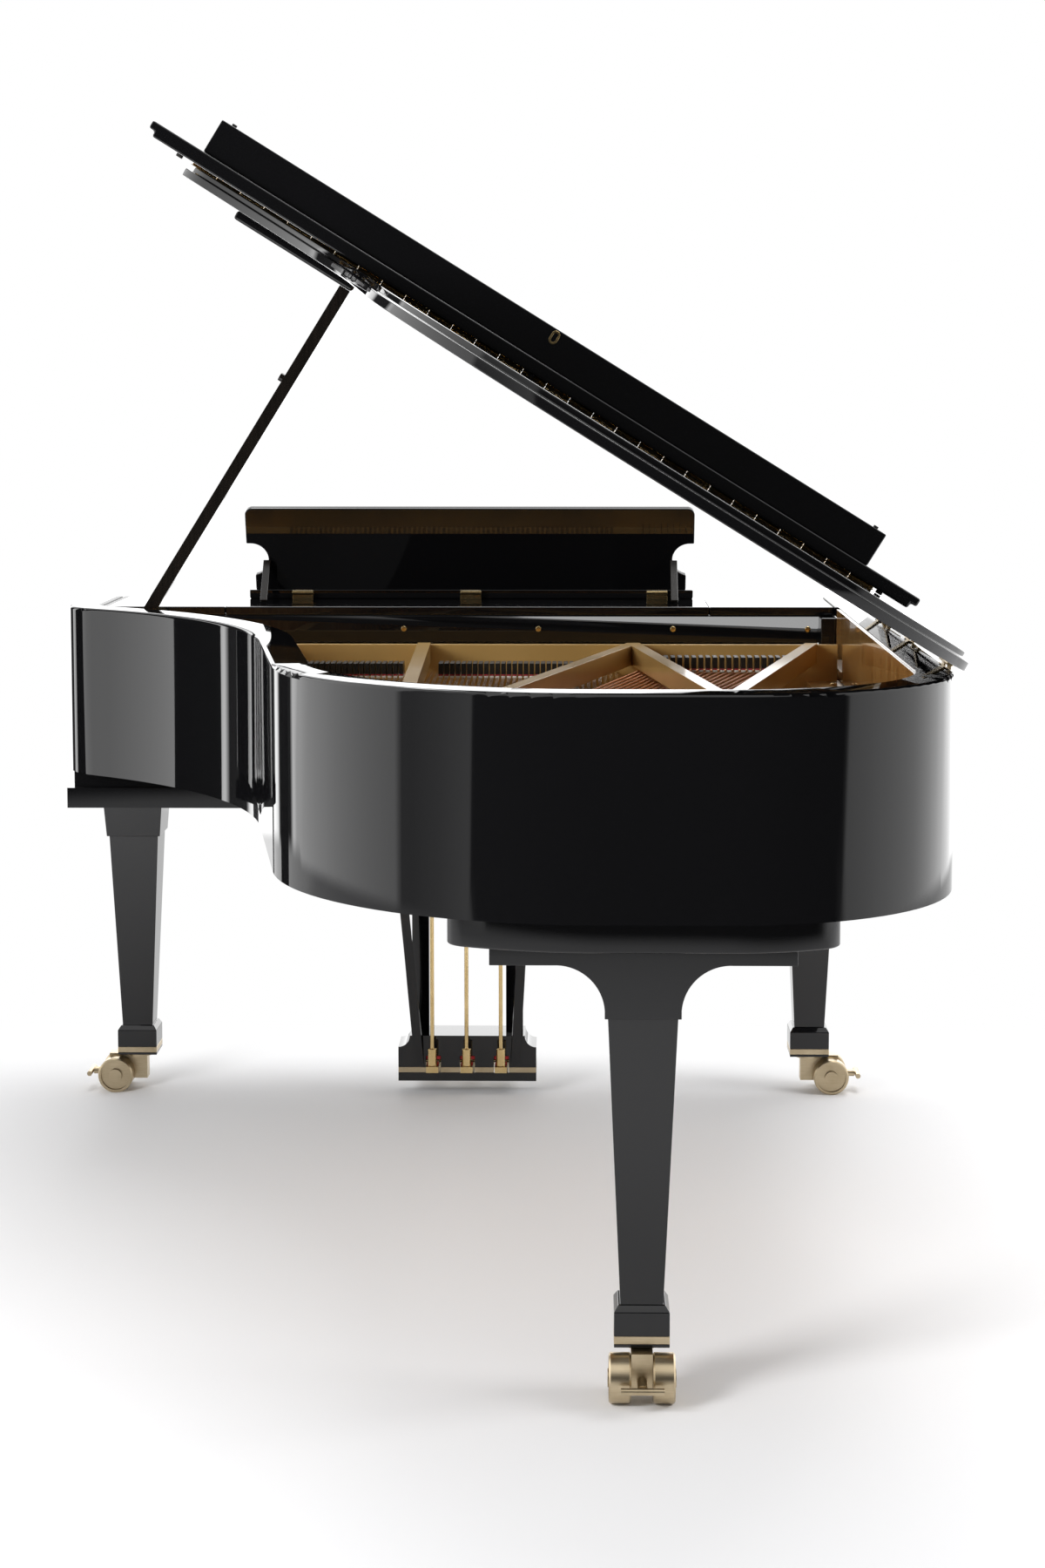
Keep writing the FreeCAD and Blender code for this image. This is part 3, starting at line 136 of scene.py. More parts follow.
class Finish(NodeTree):
    """One procedural material, kept in finishes under its name."""

    def __init__(self, name, **sockets):
        self.material = bpy.data.materials.new(name)
        self.material.use_nodes = True
        super().__init__(self.material.node_tree)
        self.shader = self.tree.nodes["Principled BSDF"]
        for socket, value in sockets.items():
            self.shader.inputs[socket.replace("_", " ")].default_value = value
        self.place = self.node("ShaderNodeTexCoord", output="Object")
        finishes[name] = self

    def stretched(self, scale, turn=(0.0, 0.0, 0.0)):
        """Object coordinates, scaled and turned."""
        return self.node("ShaderNodeMapping", {}, {"Vector": self.place, "Scale": scale, "Rotation": turn})

    def noise(self, scale, detail, place=None, distortion=0.0):
        return self.node("ShaderNodeTexNoise", {}, {
            "Vector": place or self.place, "Scale": scale, "Detail": detail, "Distortion": distortion})

    def bands(self, scale, direction):
        """Even waves across one axis."""
        settings = {"wave_type": "BANDS", "bands_direction": direction}
        return self.node("ShaderNodeTexWave", settings, {"Vector": self.place, "Scale": scale})

    def ramp(self, value, stops):
        return self.node("ShaderNodeValToRGB", {"stops": stops}, {"Fac": value})

    def color(self, value, stops):
        """Base colour: a value's ramp through some colours."""
        self.feed(self.shader, "Base Color", self.ramp(value, stops))

    def rough(self, value):
        self.feed(self.shader, "Roughness", value)

    def bump(self, height, strength, distance):
        inputs = {"Height": height, "Strength": strength, "Distance": distance}
        self.feed(self.shader, "Normal", self.node("ShaderNodeBump", {}, inputs))


def make_case_finishes():
    """Black lacquer, the duller black of the struts, and the veneer inside the rim."""
    polish = Finish("black_polish", Base_Color=(0.0035, 0.0035, 0.004, 1), IOR=1.52)
    polish.rough(0.012 + polish.noise(2.2, 5.0) * 0.03)

    stick = Finish("strut_black", IOR=1.5)
    grain = stick.noise(9.0, 6.0, stick.stretched((30.0, 30.0, 2.0)))
    stick.color(grain, [(0.3, (0.006, 0.005, 0.004)), (0.75, (0.012, 0.009, 0.007))])
    stick.rough(0.12 + grain * 0.05)

    veneer = Finish("veneer", Coat_Weight=1.0, Coat_Roughness=0.04)
    figure = veneer.noise(1.0, 5.0, veneer.stretched((45.0, 45.0, 4.0)), 1.2)
    pores = veneer.noise(1.0, 6.0, veneer.stretched((420.0, 420.0, 18.0)))
    veneer.color(figure * 0.6 + pores * 0.4, [
        (0.30, (0.19, 0.07, 0.02)), (0.44, (0.44, 0.21, 0.06)),
        (0.56, (0.64, 0.36, 0.12)), (0.72, (0.82, 0.54, 0.22))])
    veneer.rough(0.16 + pores * 0.12)
    veneer.bump(pores, 0.15, 0.0004)


# Each wood: dark and light colour, grain scale, grain turn about Z, roughness
WOODS = {
    "raw_wood": ((0.33, 0.20, 0.10), (0.50, 0.34, 0.19), (3.0, 40.0, 40.0), 0.0, 0.5),
    "spruce": ((0.44, 0.25, 0.10), (0.66, 0.43, 0.20), (160.0, 4.0, 4.0), 0.6, 0.3),
    "bridge_maple": ((0.50, 0.33, 0.17), (0.66, 0.48, 0.28), (30.0, 5.0, 30.0), 0.3, 0.4),
}


def make_wood_finishes():
    """Bare wood inside the case."""
    for name, (dark, light, scale, turn, roughness) in WOODS.items():
        wood = Finish(name)
        grain = wood.noise(1.0, 6.0, wood.stretched(scale, (0.0, 0.0, turn)), 0.4)
        cloud = wood.noise(5.0, 3.0)
        wood.color(grain * 0.75 + cloud * 0.3, [(0.3, dark), (0.75, light)])
        wood.rough(roughness - 0.06 + grain * 0.15)
        wood.bump(grain, 0.12, 0.0005)


# Each drawn metal: dark and light colour, roughness
METALS = {
    "steel": ((0.52, 0.50, 0.47), (0.74, 0.72, 0.69), 0.22),
    "brass": ((0.62, 0.44, 0.19), (0.84, 0.65, 0.34), 0.24),
    "satin_brass": ((0.44, 0.35, 0.22), (0.64, 0.53, 0.36), 0.31),
}


def make_metal_finishes():
    """The lacquered bronze of the plate, drawn metals, and copper windings."""
    plate = Finish("bronze_plate", Metallic=0.45, Coat_Weight=0.8, Coat_Roughness=0.12)
    flake = plate.noise(900.0, 2.0)
    cloud = plate.noise(4.0, 4.0)
    plate.color(flake * 0.5 + cloud * 0.5, [
        (0.25, (0.50, 0.30, 0.09)), (0.55, (0.64, 0.41, 0.14)), (0.85, (0.76, 0.53, 0.22))])
    plate.rough(0.32 + flake * 0.16)
    plate.bump(plate.noise(240.0, 3.0), 0.10, 0.0006)

    for name, (dark, light, roughness) in METALS.items():
        metal = Finish(name, Metallic=1.0)
        lines = metal.noise(6.0, 4.0, metal.stretched((6.0, 6.0, 160.0)))
        stain = metal.noise(22.0, 4.0)
        metal.color(lines * 0.35 + stain * 0.65, [(0.3, dark), (0.7, light)])
        metal.rough(roughness - 0.06 + lines * 0.14)
        metal.bump(lines, 0.06, 0.0003)

    copper = Finish("copper", Metallic=1.0)
    winding = copper.bands(260.0, "Y")
    tarnish = copper.noise(14.0, 4.0)
    copper.color(winding * 0.35 + tarnish * 0.6, [
        (0.2, (0.36, 0.13, 0.06)), (0.55, (0.66, 0.29, 0.15)), (0.9, (0.86, 0.48, 0.30))])
    copper.rough(0.24 + winding * 0.14)
    copper.bump(winding, 0.6, 0.0004)


# Each felt: dark and light colour
FELTS = {
    "red_felt": ((0.22, 0.008, 0.012), (0.46, 0.025, 0.03)),
    "pale_felt": ((0.56, 0.52, 0.45), (0.80, 0.77, 0.70)),
}


def make_felt_finishes():
    """Woven and pressed felt."""
    for name, (dark, light) in FELTS.items():
        felt = Finish(name, Sheen_Weight=0.4, Sheen_Roughness=0.5)
        fuzz = felt.noise(700.0, 5.0, distortion=0.8)
        clumps = felt.noise(90.0, 3.0)
        felt.color(fuzz * 0.6 + clumps * 0.4, [(0.25, dark), (0.75, light)])
        felt.rough(0.85 + fuzz * 0.12)
        felt.bump(fuzz + clumps, 0.5, 0.001)


def make_small_finishes():
    """Black wood, the white of the keys, and the rubber of the bumpers."""
    ebony = Finish("black_wood")
    grain = ebony.noise(14.0, 6.0, ebony.stretched((30.0, 2.0, 30.0)))
    ebony.color(grain, [(0.3, (0.006, 0.006, 0.006)), (0.8, (0.024, 0.021, 0.019))])
    ebony.rough(0.24 + grain * 0.2)
    ebony.bump(grain, 0.12, 0.0003)

    ivory = Finish("key_white", IOR=1.49, Coat_Weight=0.3, Coat_Roughness=0.1)
    lines = ivory.noise(3.0, 5.0, ivory.stretched((120.0, 5.0, 40.0)))
    ivory.color(lines, [(0.3, (0.80, 0.77, 0.69)), (0.7, (0.86, 0.84, 0.78))])
    ivory.rough(0.16 + lines * 0.12)

    rubber = Finish("bumper")
    speck = rubber.noise(320.0, 4.0)
    rubber.color(speck, [(0.3, (0.012, 0.012, 0.012)), (0.7, (0.03, 0.028, 0.026))])
    rubber.rough(0.5 + speck * 0.25)
    rubber.bump(speck, 0.3, 0.0004)


def only(obj):
    """Selects one object and makes it active."""
    bpy.ops.object.select_all(action="DESELECT")
    obj.select_set(True)
    bpy.context.view_layer.objects.active = obj


def placed(name, data):
    """A new object in the scene."""
    obj = bpy.data.objects.new(name, data)
    bpy.context.scene.collection.objects.link(obj)
    return obj


MERGE_DISTANCE = 0.00002
FLAT_ANGLE = math.radians(0.6)
ROUND_ANGLE = math.radians(30)
EDGE_ANGLE = math.radians(32)
EDGE_SEGMENTS = 3


def merge_points(piece):
    """Joins the doubled points of a CAD mesh, which stays selected in edit mode."""
    only(piece)
    bpy.ops.object.mode_set(mode="EDIT")
    bpy.ops.mesh.customdata_custom_splitnormals_clear()
    bpy.ops.mesh.select_all(action="SELECT")
    bpy.ops.mesh.remove_doubles(threshold=MERGE_DISTANCE)


def keep_flats(piece):
    """Keeps the shading of flat faces flat next to rounded edges."""
    normals = piece.modifiers.new("flat faces stay flat", "WEIGHTED_NORMAL")
    normals.mode = "FACE_AREA_WITH_ANGLE"
    normals.keep_sharp = True
    bpy.ops.object.modifier_apply(modifier=normals.name)


def round_edges(piece, width):
    """Rounds a piece's sharp edges over, with the shading of its flat faces kept flat."""
    bpy.ops.object.shade_smooth()
    bevel = piece.modifiers.new("rounded edges", "BEVEL")
    bevel.width = width
    bevel.segments = EDGE_SEGMENTS
    bevel.limit_method = "ANGLE"
    bevel.angle_limit = EDGE_ANGLE
    bevel.use_clamp_overlap = True
    bpy.ops.object.modifier_apply(modifier=bevel.name)
    keep_flats(piece)


CASTERS = ("treble", "bass", "tail")
PEDALS = ("left", "middle", "right")
FORKS = tuple("caster_fork_" + name for name in CASTERS)
WHEELS = tuple("caster_wheels_" + name for name in CASTERS)
ROUND_ALREADY = WHEELS + ("rim",)
SATIN = WHEELS + FORKS + ("leg_bands",)

# Each slot's nodes, with the width of the rounded edge, and the nodes with a width of their own
DRESSED = (
    ("black_polish", 0.0025, ("rim", "lid_main", "lid_flap", "flap_skirt", "lid_batten", "leg_tail",
                              "leg_treble", "leg_bass", "tail_block", "keybed", "lyre_box", "lyre_posts",
                              "key_slip_and_blocks", "stretcher", "fallboard", "desk_shelf",
                              "desk_rails", "desk_panel")),
    ("strut_black", 0.0015, ("lid_prop", "desk_struts")),
    ("veneer", 0.0005, ("rim_lining",)),
    ("raw_wood", 0.001, ("inner_rim", "case_braces", "key_frame", "pin_block", "action_rail", "hammers")),
    ("spruce", 0.001, ("soundboard",)),
    ("bridge_maple", 0.002, ("bridges",)),
    ("bronze_plate", 0.004, ("plate",)),
    ("steel", 0.0004, ("tuning_pins",)),
    ("brass", 0.0006, ("leg_bands", "pedal_pins", "desk_hinges", "case_hinges", "lid_hinges", "flap_hinge",
                       "lock_escutcheon", "prop_bracket")
     + tuple("pedal_" + name for name in PEDALS) + tuple("pedal_rod_" + name for name in PEDALS)
     + FORKS + WHEELS),
    ("red_felt", 0.0006, ("pedal_felts",)),
    ("black_wood", 0.001, ("damper_heads", "black_keys")),
    ("key_white", 0.0008, ("white_keys",)),
    ("bumper", 0.001, ("flap_bumpers",)),
)
EDGE_WIDTHS = {"lid_main": 0.004, "lid_flap": 0.004, "lid_batten": 0.006}


def eased(name, width):
    """A copy of a CAD node, merged, with its sharp edges rounded over, in the node's place."""
    source = nodes[name]
    piece = placed(name + "_finished", source.data.copy())
    merge_points(piece)
    if name in ROUND_ALREADY:
        bpy.ops.object.mode_set(mode="OBJECT")
        bpy.ops.object.shade_smooth_by_angle(angle=ROUND_ANGLE)
        if name in WHEELS:
            keep_flats(piece)
    else:
        bpy.ops.mesh.dissolve_limited(angle_limit=FLAT_ANGLE)
        bpy.ops.object.mode_set(mode="OBJECT")
        round_edges(piece, EDGE_WIDTHS.get(name, width))
    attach(piece, source["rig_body"])
    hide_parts(name)
    return piece


def dress(piece, slot, finish=None):
    """Gives a piece the finish of its material slot, or another finish of the same stuff."""
    piece.data.materials.clear()
    piece.data.materials.append(finishes[finish or slot].material)
    return piece


def dress_nodes():
    """The CAD nodes as finished pieces, apart from those that are drawn anew below."""
    for slot, width, names in DRESSED:
        for name in names:
            dress(eased(name, width), slot, "satin_brass" if name in SATIN else None)


POINTS_PER_METRE = 50000


def loose_parts(name):
    """The separate solids of a CAD node, each as a list of its points."""
    source = nodes[name].data
    key_of = [tuple(round(c * POINTS_PER_METRE) for c in v.co) for v in source.vertices]
    leader = {key: key for key in key_of}

    def top(key):
        while leader[key] != key:
            leader[key] = leader[leader[key]]
            key = leader[key]
        return key

    for face in source.polygons:
        keys = [top(key_of[i]) for i in face.vertices]
        for key in keys[1:]:
            leader[key] = keys[0]
    parts = {}
    for vertex, key in zip(source.vertices, key_of):
        parts.setdefault(top(key), []).append(vertex.co.copy())
    return list(parts.values())


def box_of(points):
    """Lowest and highest corner of some points."""
    low = Vector([min(p[i] for p in points) for i in range(3)])
    high = Vector([max(p[i] for p in points) for i in range(3)])
    return low, high


STRAND_SPREAD = 0.0021
PLAIN_WIRE = 0.0011
CORE_WIRE = 0.0013
WOUND_WIRE = 0.0040
WINDING = (0.03, 0.70)
SHORTEST_WOUND = 0.4
END_REACH = 0.003
WIRE_ANGLE = math.radians(50)


def run_of(points):
    """The two ends of a long solid that lies along Y."""
    low, high = box_of(points)
    ends = []
    for y in (low.y, high.y):
        near = [p for p in points if abs(p.y - y) < END_REACH]
        ends.append(sum(near, Vector()) / len(near))
    return ends


def wires(name, runs, diameter):
    """Straight round wires between pairs of points, as one mesh."""
    curve = bpy.data.curves.new(name, "CURVE")
    curve.dimensions = "3D"
    curve.bevel_depth = diameter / 2
    curve.bevel_resolution = 1
    curve.use_fill_caps = True
    for start, end in runs:
        spline = curve.splines.new("POLY")
        spline.points.add(1)
        spline.points[0].co = (*start, 1.0)
        spline.points[1].co = (*end, 1.0)
    only(placed(name, curve))
    bpy.ops.object.convert(target="MESH")
    bpy.ops.object.shade_smooth_by_angle(angle=WIRE_ANGLE)
    return bpy.context.active_object


def make_strings():
    """Three steel wires for each plain note; copper winding on a steel core for each bass note."""
    runs = []
    for points in loose_parts("plain_strings"):
        start, end = run_of(points)
        for strand in (-1, 0, 1):
            aside = Vector((strand * STRAND_SPREAD, 0, 0))
            runs.append((start + aside, end + aside))
    plain = dress(wires("plain_strings_drawn", runs, PLAIN_WIRE), "steel")
    cores = []
    windings = []
    for points in loose_parts("wound_strings"):
        start, end = run_of(points)
        cores.append((start, end))
        if (end - start).length > SHORTEST_WOUND:
            windings.append((start.lerp(end, WINDING[0]), start.lerp(end, WINDING[1])))
    core = dress(wires("bass_string_cores", cores, CORE_WIRE), "steel")
    winding = dress(wires("bass_string_windings", windings, WOUND_WIRE), "copper")
    for piece in (plain, core, winding):
        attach(piece, "case")
    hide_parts("plain_strings")
    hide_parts("wound_strings")


def copies(model, name, places):
    """Copies of one small model, each with its own mesh, joined into a piece at the origin."""
    made = []
    for place in places:
        mesh = model.data.copy()
        mesh.transform(place)
        made.append(placed(name, mesh))
    bpy.data.objects.remove(model)
    only(made[0])
    for copy in made[1:]:
        copy.select_set(True)
    bpy.ops.object.join()
    made[0].name = name
    return made[0]


SMALL_ROUND_ANGLE = math.radians(40)
BLOCK_SEGMENTS = 2


def rounded_block(name, size, width):
    """A block with its lowest middle at the origin and its edges rounded over."""
    bpy.ops.object.select_all(action="DESELECT")
    bpy.ops.mesh.primitive_cube_add(size=1.0, location=(0, 0, size[2] / 2))
    block = bpy.context.active_object
    block.name = name
    block.scale = size
    bpy.ops.object.transform_apply(location=True, rotation=True, scale=True)
    bpy.ops.object.mode_set(mode="EDIT")
    bpy.ops.mesh.select_all(action="SELECT")
    bpy.ops.mesh.bevel(offset=width, segments=BLOCK_SEGMENTS, affect="EDGES")
    bpy.ops.object.mode_set(mode="OBJECT")
    bpy.ops.object.shade_smooth_by_angle(angle=SMALL_ROUND_ANGLE)
    return block


RED_SHARE = 0.38
FELT_INSET = 0.0006
PALE_FELT_EDGE = 0.0008
RED_FELT_EDGE = 0.0007


def make_damper_felts():
    """Under each damper head a pale felt that stands on the strings, with a red felt over it."""
    boxes = [box_of(points) for points in loose_parts("damper_felts")]
    low, high = boxes[0]
    size = high - low
    split = size.z * (1 - RED_SHARE)
    feet = [Vector(((a.x + b.x) / 2, (a.y + b.y) / 2, a.z)) for a, b in boxes]
    pale_places = [Matrix.Translation(foot) for foot in feet]
    red_places = [Matrix.Translation(foot + Vector((0, 0, split))) for foot in feet]
    pale = rounded_block("felt", (size.x - FELT_INSET, size.y - FELT_INSET, split), PALE_FELT_EDGE)
    pale = dress(copies(pale, "damper_pale_felts", pale_places), "pale_felt")
    red = rounded_block("felt", (size.x, size.y, size.z - split), RED_FELT_EDGE)
    red = dress(copies(red, "damper_red_felts", red_places), "red_felt")
    for piece in (pale, red):
        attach(piece, "dampers")
    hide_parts("damper_felts")


HEAD_SIDES = 24
DOME_SHARE = 0.6
DOME_SEGMENTS = 3
SLOT_FLOOR = 0.55
SLOT_LENGTH = 1.2
SLOT_EDGE = 0.1
FACES_UP = 0.9


def slotted_head(name, diameter, height, slot_width):
    """A domed screw head with a slot, its foot at the origin, pointing up."""
    bpy.ops.object.select_all(action="DESELECT")
    bpy.ops.mesh.primitive_cylinder_add(
        vertices=HEAD_SIDES, radius=diameter / 2, depth=height, location=(0, 0, height / 2))
    head = bpy.context.active_object
    head.name = name
    bpy.ops.object.transform_apply(location=True, rotation=True, scale=True)
    bpy.ops.object.mode_set(mode="EDIT")
    bpy.ops.mesh.select_mode(type="FACE")
    bpy.ops.mesh.select_all(action="DESELECT")
    bpy.ops.object.mode_set(mode="OBJECT")
    for face in head.data.polygons:
        face.select = face.normal.z > FACES_UP
    bpy.ops.object.mode_set(mode="EDIT")
    bpy.ops.mesh.bevel(offset=height * DOME_SHARE, segments=DOME_SEGMENTS, affect="EDGES")
    bpy.ops.object.mode_set(mode="OBJECT")
    cutter_size = (diameter * SLOT_LENGTH, slot_width, height)
    cutter = rounded_block("cutter", cutter_size, slot_width * SLOT_EDGE)
    cutter.location = (0, 0, height * SLOT_FLOOR)
    only(head)
    slot = head.modifiers.new("slot", "BOOLEAN")
    slot.object = cutter
    slot.operation = "DIFFERENCE"
    bpy.ops.object.modifier_apply(modifier=slot.name)
    bpy.data.objects.remove(cutter)
    bpy.ops.object.shade_smooth_by_angle(angle=SMALL_ROUND_ANGLE)
    return head


SCREW_SLOT = 0.0016
SCREW_TURN = math.radians(37)
FACE_TAIL = Matrix.Rotation(math.radians(-90), 4, "X")


def make_screws():
    """Slotted brass screws in the rail below the desk, each slot turned another way."""
    boxes = [box_of(points) for points in loose_parts("desk_screws")]
    size = boxes[0][1] - boxes[0][0]
    head = slotted_head("screw", size.x, size.y, SCREW_SLOT)
    places = []
    for number, (low, high) in enumerate(boxes):
        centre = (low + high) / 2
        turn = FACE_TAIL @ Matrix.Rotation(SCREW_TURN * number, 4, "Z")
        places.append(Matrix.Translation((centre.x, low.y, centre.z)) @ turn)
    screws = dress(copies(head, "desk_screw_heads", places), "brass")
    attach(screws, "case")
    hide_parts("desk_screws")


KEY_PLATE_EDGE = 0.0004


def make_key_plate():
    """The lock's oval plate on the skirt's outer face, a mirrored copy of the one on its inner face."""
    low, high = box_of([v.co for v in nodes["flap_skirt"].data.vertices])
    mesh = nodes["lock_escutcheon"].data.copy()
    mesh.transform(Matrix.Translation((0, low.y + high.y, 0)) @ Matrix.Scale(-1, 4, (0, 1, 0)))
    plate = placed("lock_key_plate", mesh)
    merge_points(plate)
    bpy.ops.mesh.flip_normals()
    bpy.ops.object.mode_set(mode="OBJECT")
    round_edges(plate, KEY_PLATE_EDGE)
    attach(dress(plate, "brass"), "flap")


BOLT_PITCH = 0.13
BOLT_INSET = 0.030
BOLT_DIAMETER = 0.014
BOLT_HEIGHT = 0.005
BOLT_SLOT = 0.002
BOLT_TURN_PER_METRE = 40
BOLT_HUB = Vector((-0.15, 0.2, 0.0))
ABOVE_ALL = Vector((0, 0, 2.0))
DOWN = Vector((0, 0, -1))


def make_plate_bolts():
    """Slotted bolts along the plate's flange, set in from the lining all the way round the tail."""
    ring = {(round(v.co.x, 3), round(v.co.y, 3)) for v in nodes["rim_lining"].data.vertices}
    ring = [Vector((x, y, 0.0)) for x, y in ring]
    ring.sort(key=lambda p: math.atan2(p.x - BOLT_HUB.x, p.y - BOLT_HUB.y))
    plate = nodes["plate"].data
    surface = BVHTree.FromPolygons([v.co for v in plate.vertices], [p.vertices for p in plate.polygons])
    places = []
    walked = 0.0
    for before, after in zip(ring, ring[1:]):
        step = after - before
        while step.length > 0 and walked <= step.length:
            spot = before + step.normalized() * walked
            spot += (BOLT_HUB - spot).normalized() * BOLT_INSET
            hit = surface.ray_cast(spot + ABOVE_ALL, DOWN)[0]
            if hit:
                turn = Matrix.Rotation(walked * BOLT_TURN_PER_METRE, 4, "Z")
                places.append(Matrix.Translation(hit) @ turn)
            walked += BOLT_PITCH
        walked -= step.length
    bolt = slotted_head("bolt", BOLT_DIAMETER, BOLT_HEIGHT, BOLT_SLOT)
    bolts = dress(copies(bolt, "plate_bolts", places), "brass")
    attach(bolts, "case")


PHOTO_WIDTH = 1200
PHOTO_HEIGHT = 1800
SENSOR = 36.0
CAMERA_PLACE = Vector((-0.2013, 4.677, 1.401))
CAMERA_FOCUS_PX = 3155.9
CAMERA_CENTRE_PX = (618.3, 747.2)
CAMERA_PITCH = math.radians(5.337)
CAMERA_YAW = math.radians(0.803)


def facing(way):
    """The turn of a camera or lamp that looks along a direction."""
    return way.to_track_quat("-Z", "Y").to_euler()


def make_camera():
    """The camera at the photograph's place, from the fitted focal length and principal point."""
    data = bpy.data.cameras.new("camera")
    camera = placed("camera", data)
    camera.location = CAMERA_PLACE
    camera.rotation_euler = facing(Vector((
        math.sin(CAMERA_YAW) * math.cos(CAMERA_PITCH),
        -math.cos(CAMERA_YAW) * math.cos(CAMERA_PITCH),
        -math.sin(CAMERA_PITCH))))
    data.sensor_width = SENSOR
    data.lens = CAMERA_FOCUS_PX * SENSOR / PHOTO_HEIGHT
    data.shift_x = (PHOTO_WIDTH / 2 - CAMERA_CENTRE_PX[0]) / PHOTO_HEIGHT
    data.shift_y = (CAMERA_CENTRE_PX[1] - PHOTO_HEIGHT / 2) / PHOTO_HEIGHT
    bpy.context.scene.camera = camera


# Brightness of the studio round the piano: degrees from the camera's side towards the treble, brightness
STUDIO_BANDS = (
    (-180, 2.6), (-152, 2.2), (-130, 2.2), (-105, 1.5), (-80, 1.3), (-60, 1.0), (-57, 0.2), (-54, 0.04),
    (42, 0.06), (44, 0.75), (56, 0.48), (66, 0.33), (71, 0.33), (72.5, 1.5), (94, 1.85), (108, 2.0),
    (130, 1.9), (131, 2.6), (133, 2.6), (134, 0.05), (148, 0.05), (151, 2.2), (180, 2.6),
)
STUDIO_TOP = 1.2
STUDIO_TOP_RISE = (0.45, 0.8)
STUDIO_FILL = 0.5
RAYS = ("Is Camera Ray", "Is Glossy Ray", "Is Transmission Ray")
WHITE = (1, 1, 1, 1)


def make_world():
    """White to the camera, soft fill on rough surfaces, and soft boxes round the piano in its gloss."""
    world = bpy.data.worlds.new("studio")
    bpy.context.scene.world = world
    world.use_nodes = True
    world.node_tree.nodes.clear()
    tree = NodeTree(world.node_tree)
    way = tree.node("ShaderNodeTexCoord", output="Generated")
    x, y, height = tree.outputs("ShaderNodeSeparateXYZ", "XYZ", {0: way})
    turn = x.math("ARCTAN2", y) / (2 * math.pi) + 0.5
    tallest = max(brightness for _, brightness in STUDIO_BANDS)
    stops = [((angle + 180) / 360, (brightness / tallest,) * 3) for angle, brightness in STUDIO_BANDS]
    bands = tree.node("ShaderNodeValToRGB", {"stops": stops}, {"Fac": turn}) * tallest
    above = tree.soft_step(height, *STUDIO_TOP_RISE)
    studio = bands * (1 - above) + above * STUDIO_TOP
    seen, mirrored, through = tree.outputs("ShaderNodeLightPath", RAYS)
    unseen = mirrored * studio + (1 - mirrored) * (through + (1 - through) * STUDIO_FILL)
    strength = seen + (1 - seen) * unseen
    background = tree.node("ShaderNodeBackground", {}, {"Color": WHITE, "Strength": strength})
    tree.node("ShaderNodeOutputWorld", {}, {"Surface": background}, None)


def studio_sheet(name, size, place, turn):
    """A flat sheet of the studio."""
    bpy.ops.object.select_all(action="DESELECT")
    bpy.ops.mesh.primitive_plane_add(size=1.0)
    sheet = bpy.context.active_object
    sheet.name = name
    sheet.scale = (*size, 1)
    sheet.rotation_euler = turn
    sheet.location = place
    bpy.ops.object.transform_apply(location=True, rotation=True, scale=True)
    return sheet


FLOOR_BACK = -9.0
FLOOR_FRONT = 4.6
FLOOR_SIDE = 7.0
# Where the floor turns white towards the back, where it does so all round, and where the gloss loses it
FADE_BACK = (-0.75, -1.35)
FADE_ROUND = (2.2, 3.2)
FADE_GLOSS = (4.0, 4.5)


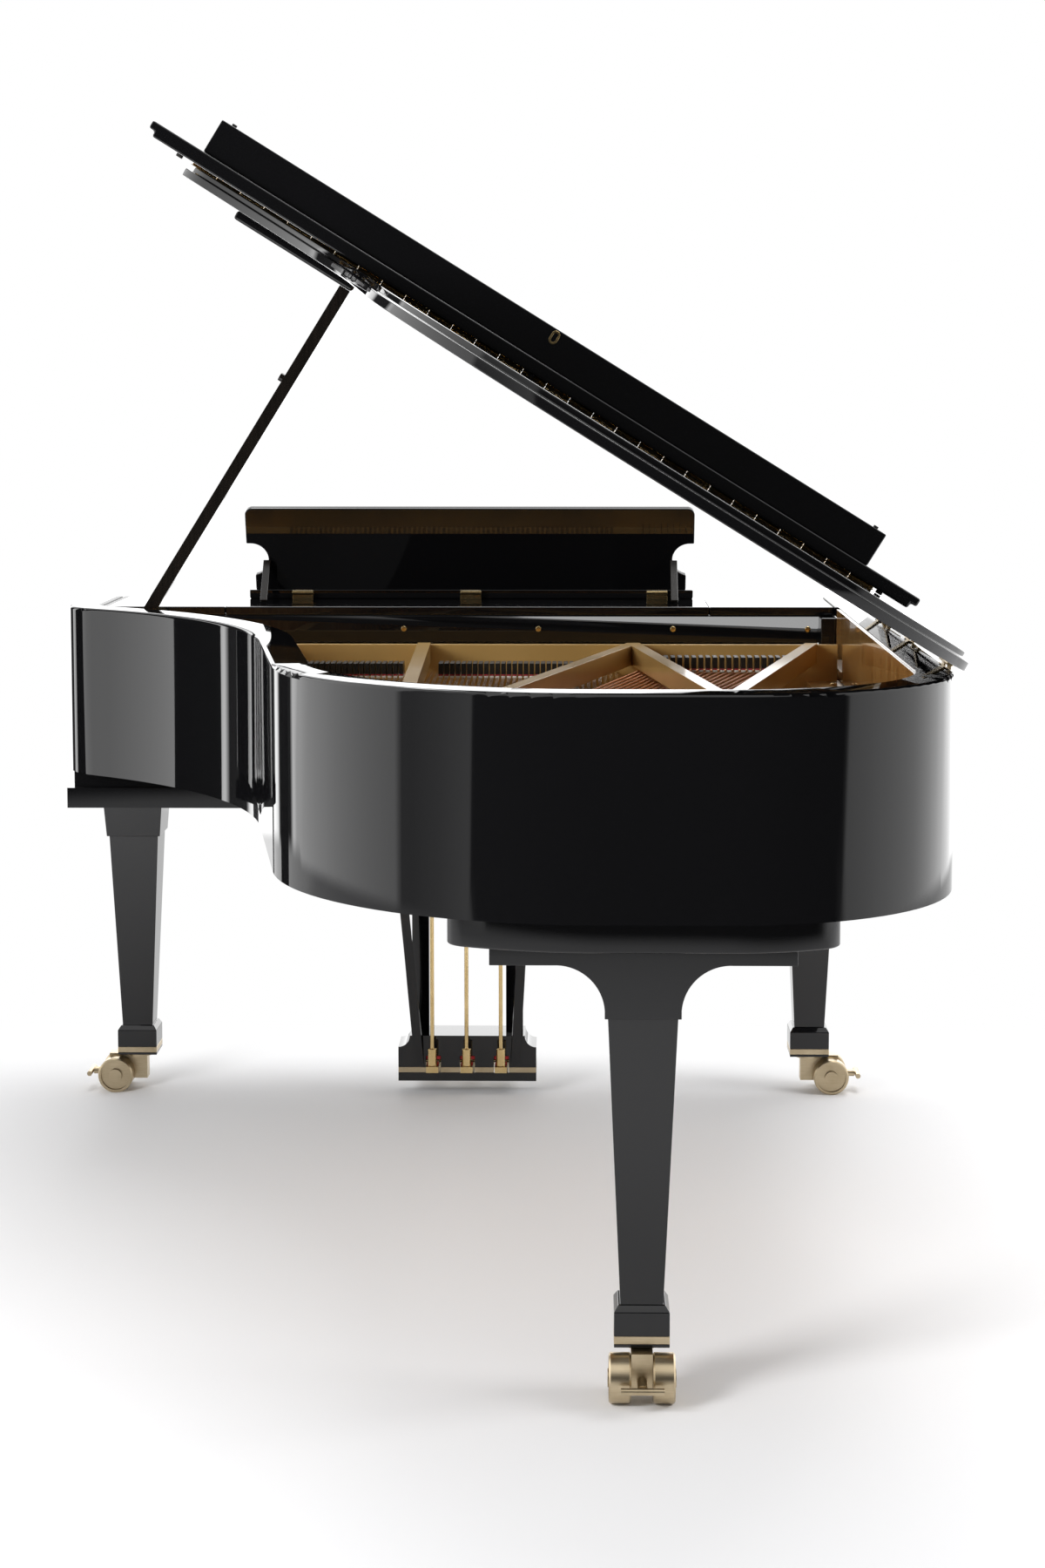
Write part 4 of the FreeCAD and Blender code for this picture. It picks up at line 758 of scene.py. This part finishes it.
def make_floor():
    """A pale floor that takes the soft shadow and fades to the white behind."""
    size = (2 * FLOOR_SIDE, FLOOR_FRONT - FLOOR_BACK)
    floor = studio_sheet("studio_floor", size, (0, (FLOOR_FRONT + FLOOR_BACK) / 2, 0), (0, 0, 0))
    paper = Finish("studio_paper", Base_Color=(0.86, 0.86, 0.87, 1), Roughness=0.75)
    depth, = paper.outputs("ShaderNodeSeparateXYZ", "Y", {0: paper.place})
    reach = paper.node("ShaderNodeVectorMath", {"operation": "LENGTH"}, {0: paper.place}, "Value")
    seen, mirrored, through = paper.outputs("ShaderNodeLightPath", RAYS)
    back = paper.soft_step(depth, *FADE_BACK)
    outer = paper.soft_step(reach, *FADE_ROUND)
    shown = seen * back.math("MAXIMUM", outer) + (mirrored + through) * back
    white = paper.node("ShaderNodeEmission", {}, {"Color": WHITE, "Strength": 1.0})
    plain = Value(paper, paper.shader.outputs[0])
    lit = paper.node("ShaderNodeMixShader", {}, {0: shown, 1: plain, 2: white})
    far = paper.soft_step(reach, *FADE_GLOSS)
    clear = paper.node("ShaderNodeBsdfTransparent")
    ended = paper.node("ShaderNodeMixShader", {}, {0: far * mirrored, 1: lit, 2: clear})
    paper.feed(paper.tree.nodes["Material Output"], "Surface", ended)
    floor.data.materials.append(paper.material)


FLAG_ENDS = (Vector((1.378, -0.500, 0.0)), Vector((1.174, -0.706, 0.0)))
FLAG_HEIGHT = 1.6


def make_flag():
    """A black card that only the gloss sees: it keeps the waist of the rim dark."""
    across = FLAG_ENDS[1] - FLAG_ENDS[0]
    middle = (FLAG_ENDS[0] + FLAG_ENDS[1]) / 2 + Vector((0, 0, FLAG_HEIGHT / 2))
    turn = (math.radians(90), 0, math.atan2(across.y, across.x))
    flag = studio_sheet("studio_flag", (across.length, FLAG_HEIGHT), middle, turn)
    cloth = Finish("flag_cloth", Base_Color=(0.01, 0.01, 0.01, 1), Roughness=0.9)
    flag.data.materials.append(cloth.material)
    flag.visible_camera = False
    flag.visible_diffuse = False
    flag.visible_shadow = False


# Each soft box: its place, the point it faces, its size, its power, and whether the gloss shows it
SOFT_BOXES = {
    "top_box": ((-0.4, -1.5, 4.0), (0.1, 0.3, 0.0), (3.4, 2.4), 140, True),
    "side_box": ((-3.6, 0.6, 2.2), (-0.8, 0.9, 0.0), (2.0, 1.6), 60, False),
    "well_box": ((2.2, 2.6, 1.9), (-0.1, 0.0, 0.92), (1.2, 1.0), 90, False),
}


def make_lights():
    """Soft boxes: overhead, at the bass side for the floor, at the treble side to shine in under the lid."""
    for name, (place, target, size, power, in_gloss) in SOFT_BOXES.items():
        data = bpy.data.lights.new(name, "AREA")
        data.shape = "RECTANGLE"
        data.size, data.size_y = size
        data.energy = power
        light = placed(name, data)
        light.location = place
        light.rotation_euler = facing(Vector(target) - Vector(place))
        light.visible_glossy = in_gloss
        light.visible_camera = False


make_camera()
make_case_finishes()
make_wood_finishes()
make_metal_finishes()
make_felt_finishes()
make_small_finishes()
dress_nodes()
make_strings()
make_damper_felts()
make_screws()
make_key_plate()
make_plate_bolts()
make_world()
make_floor()
make_flag()
make_lights()
bpy.context.scene.view_settings.view_transform = "Standard"
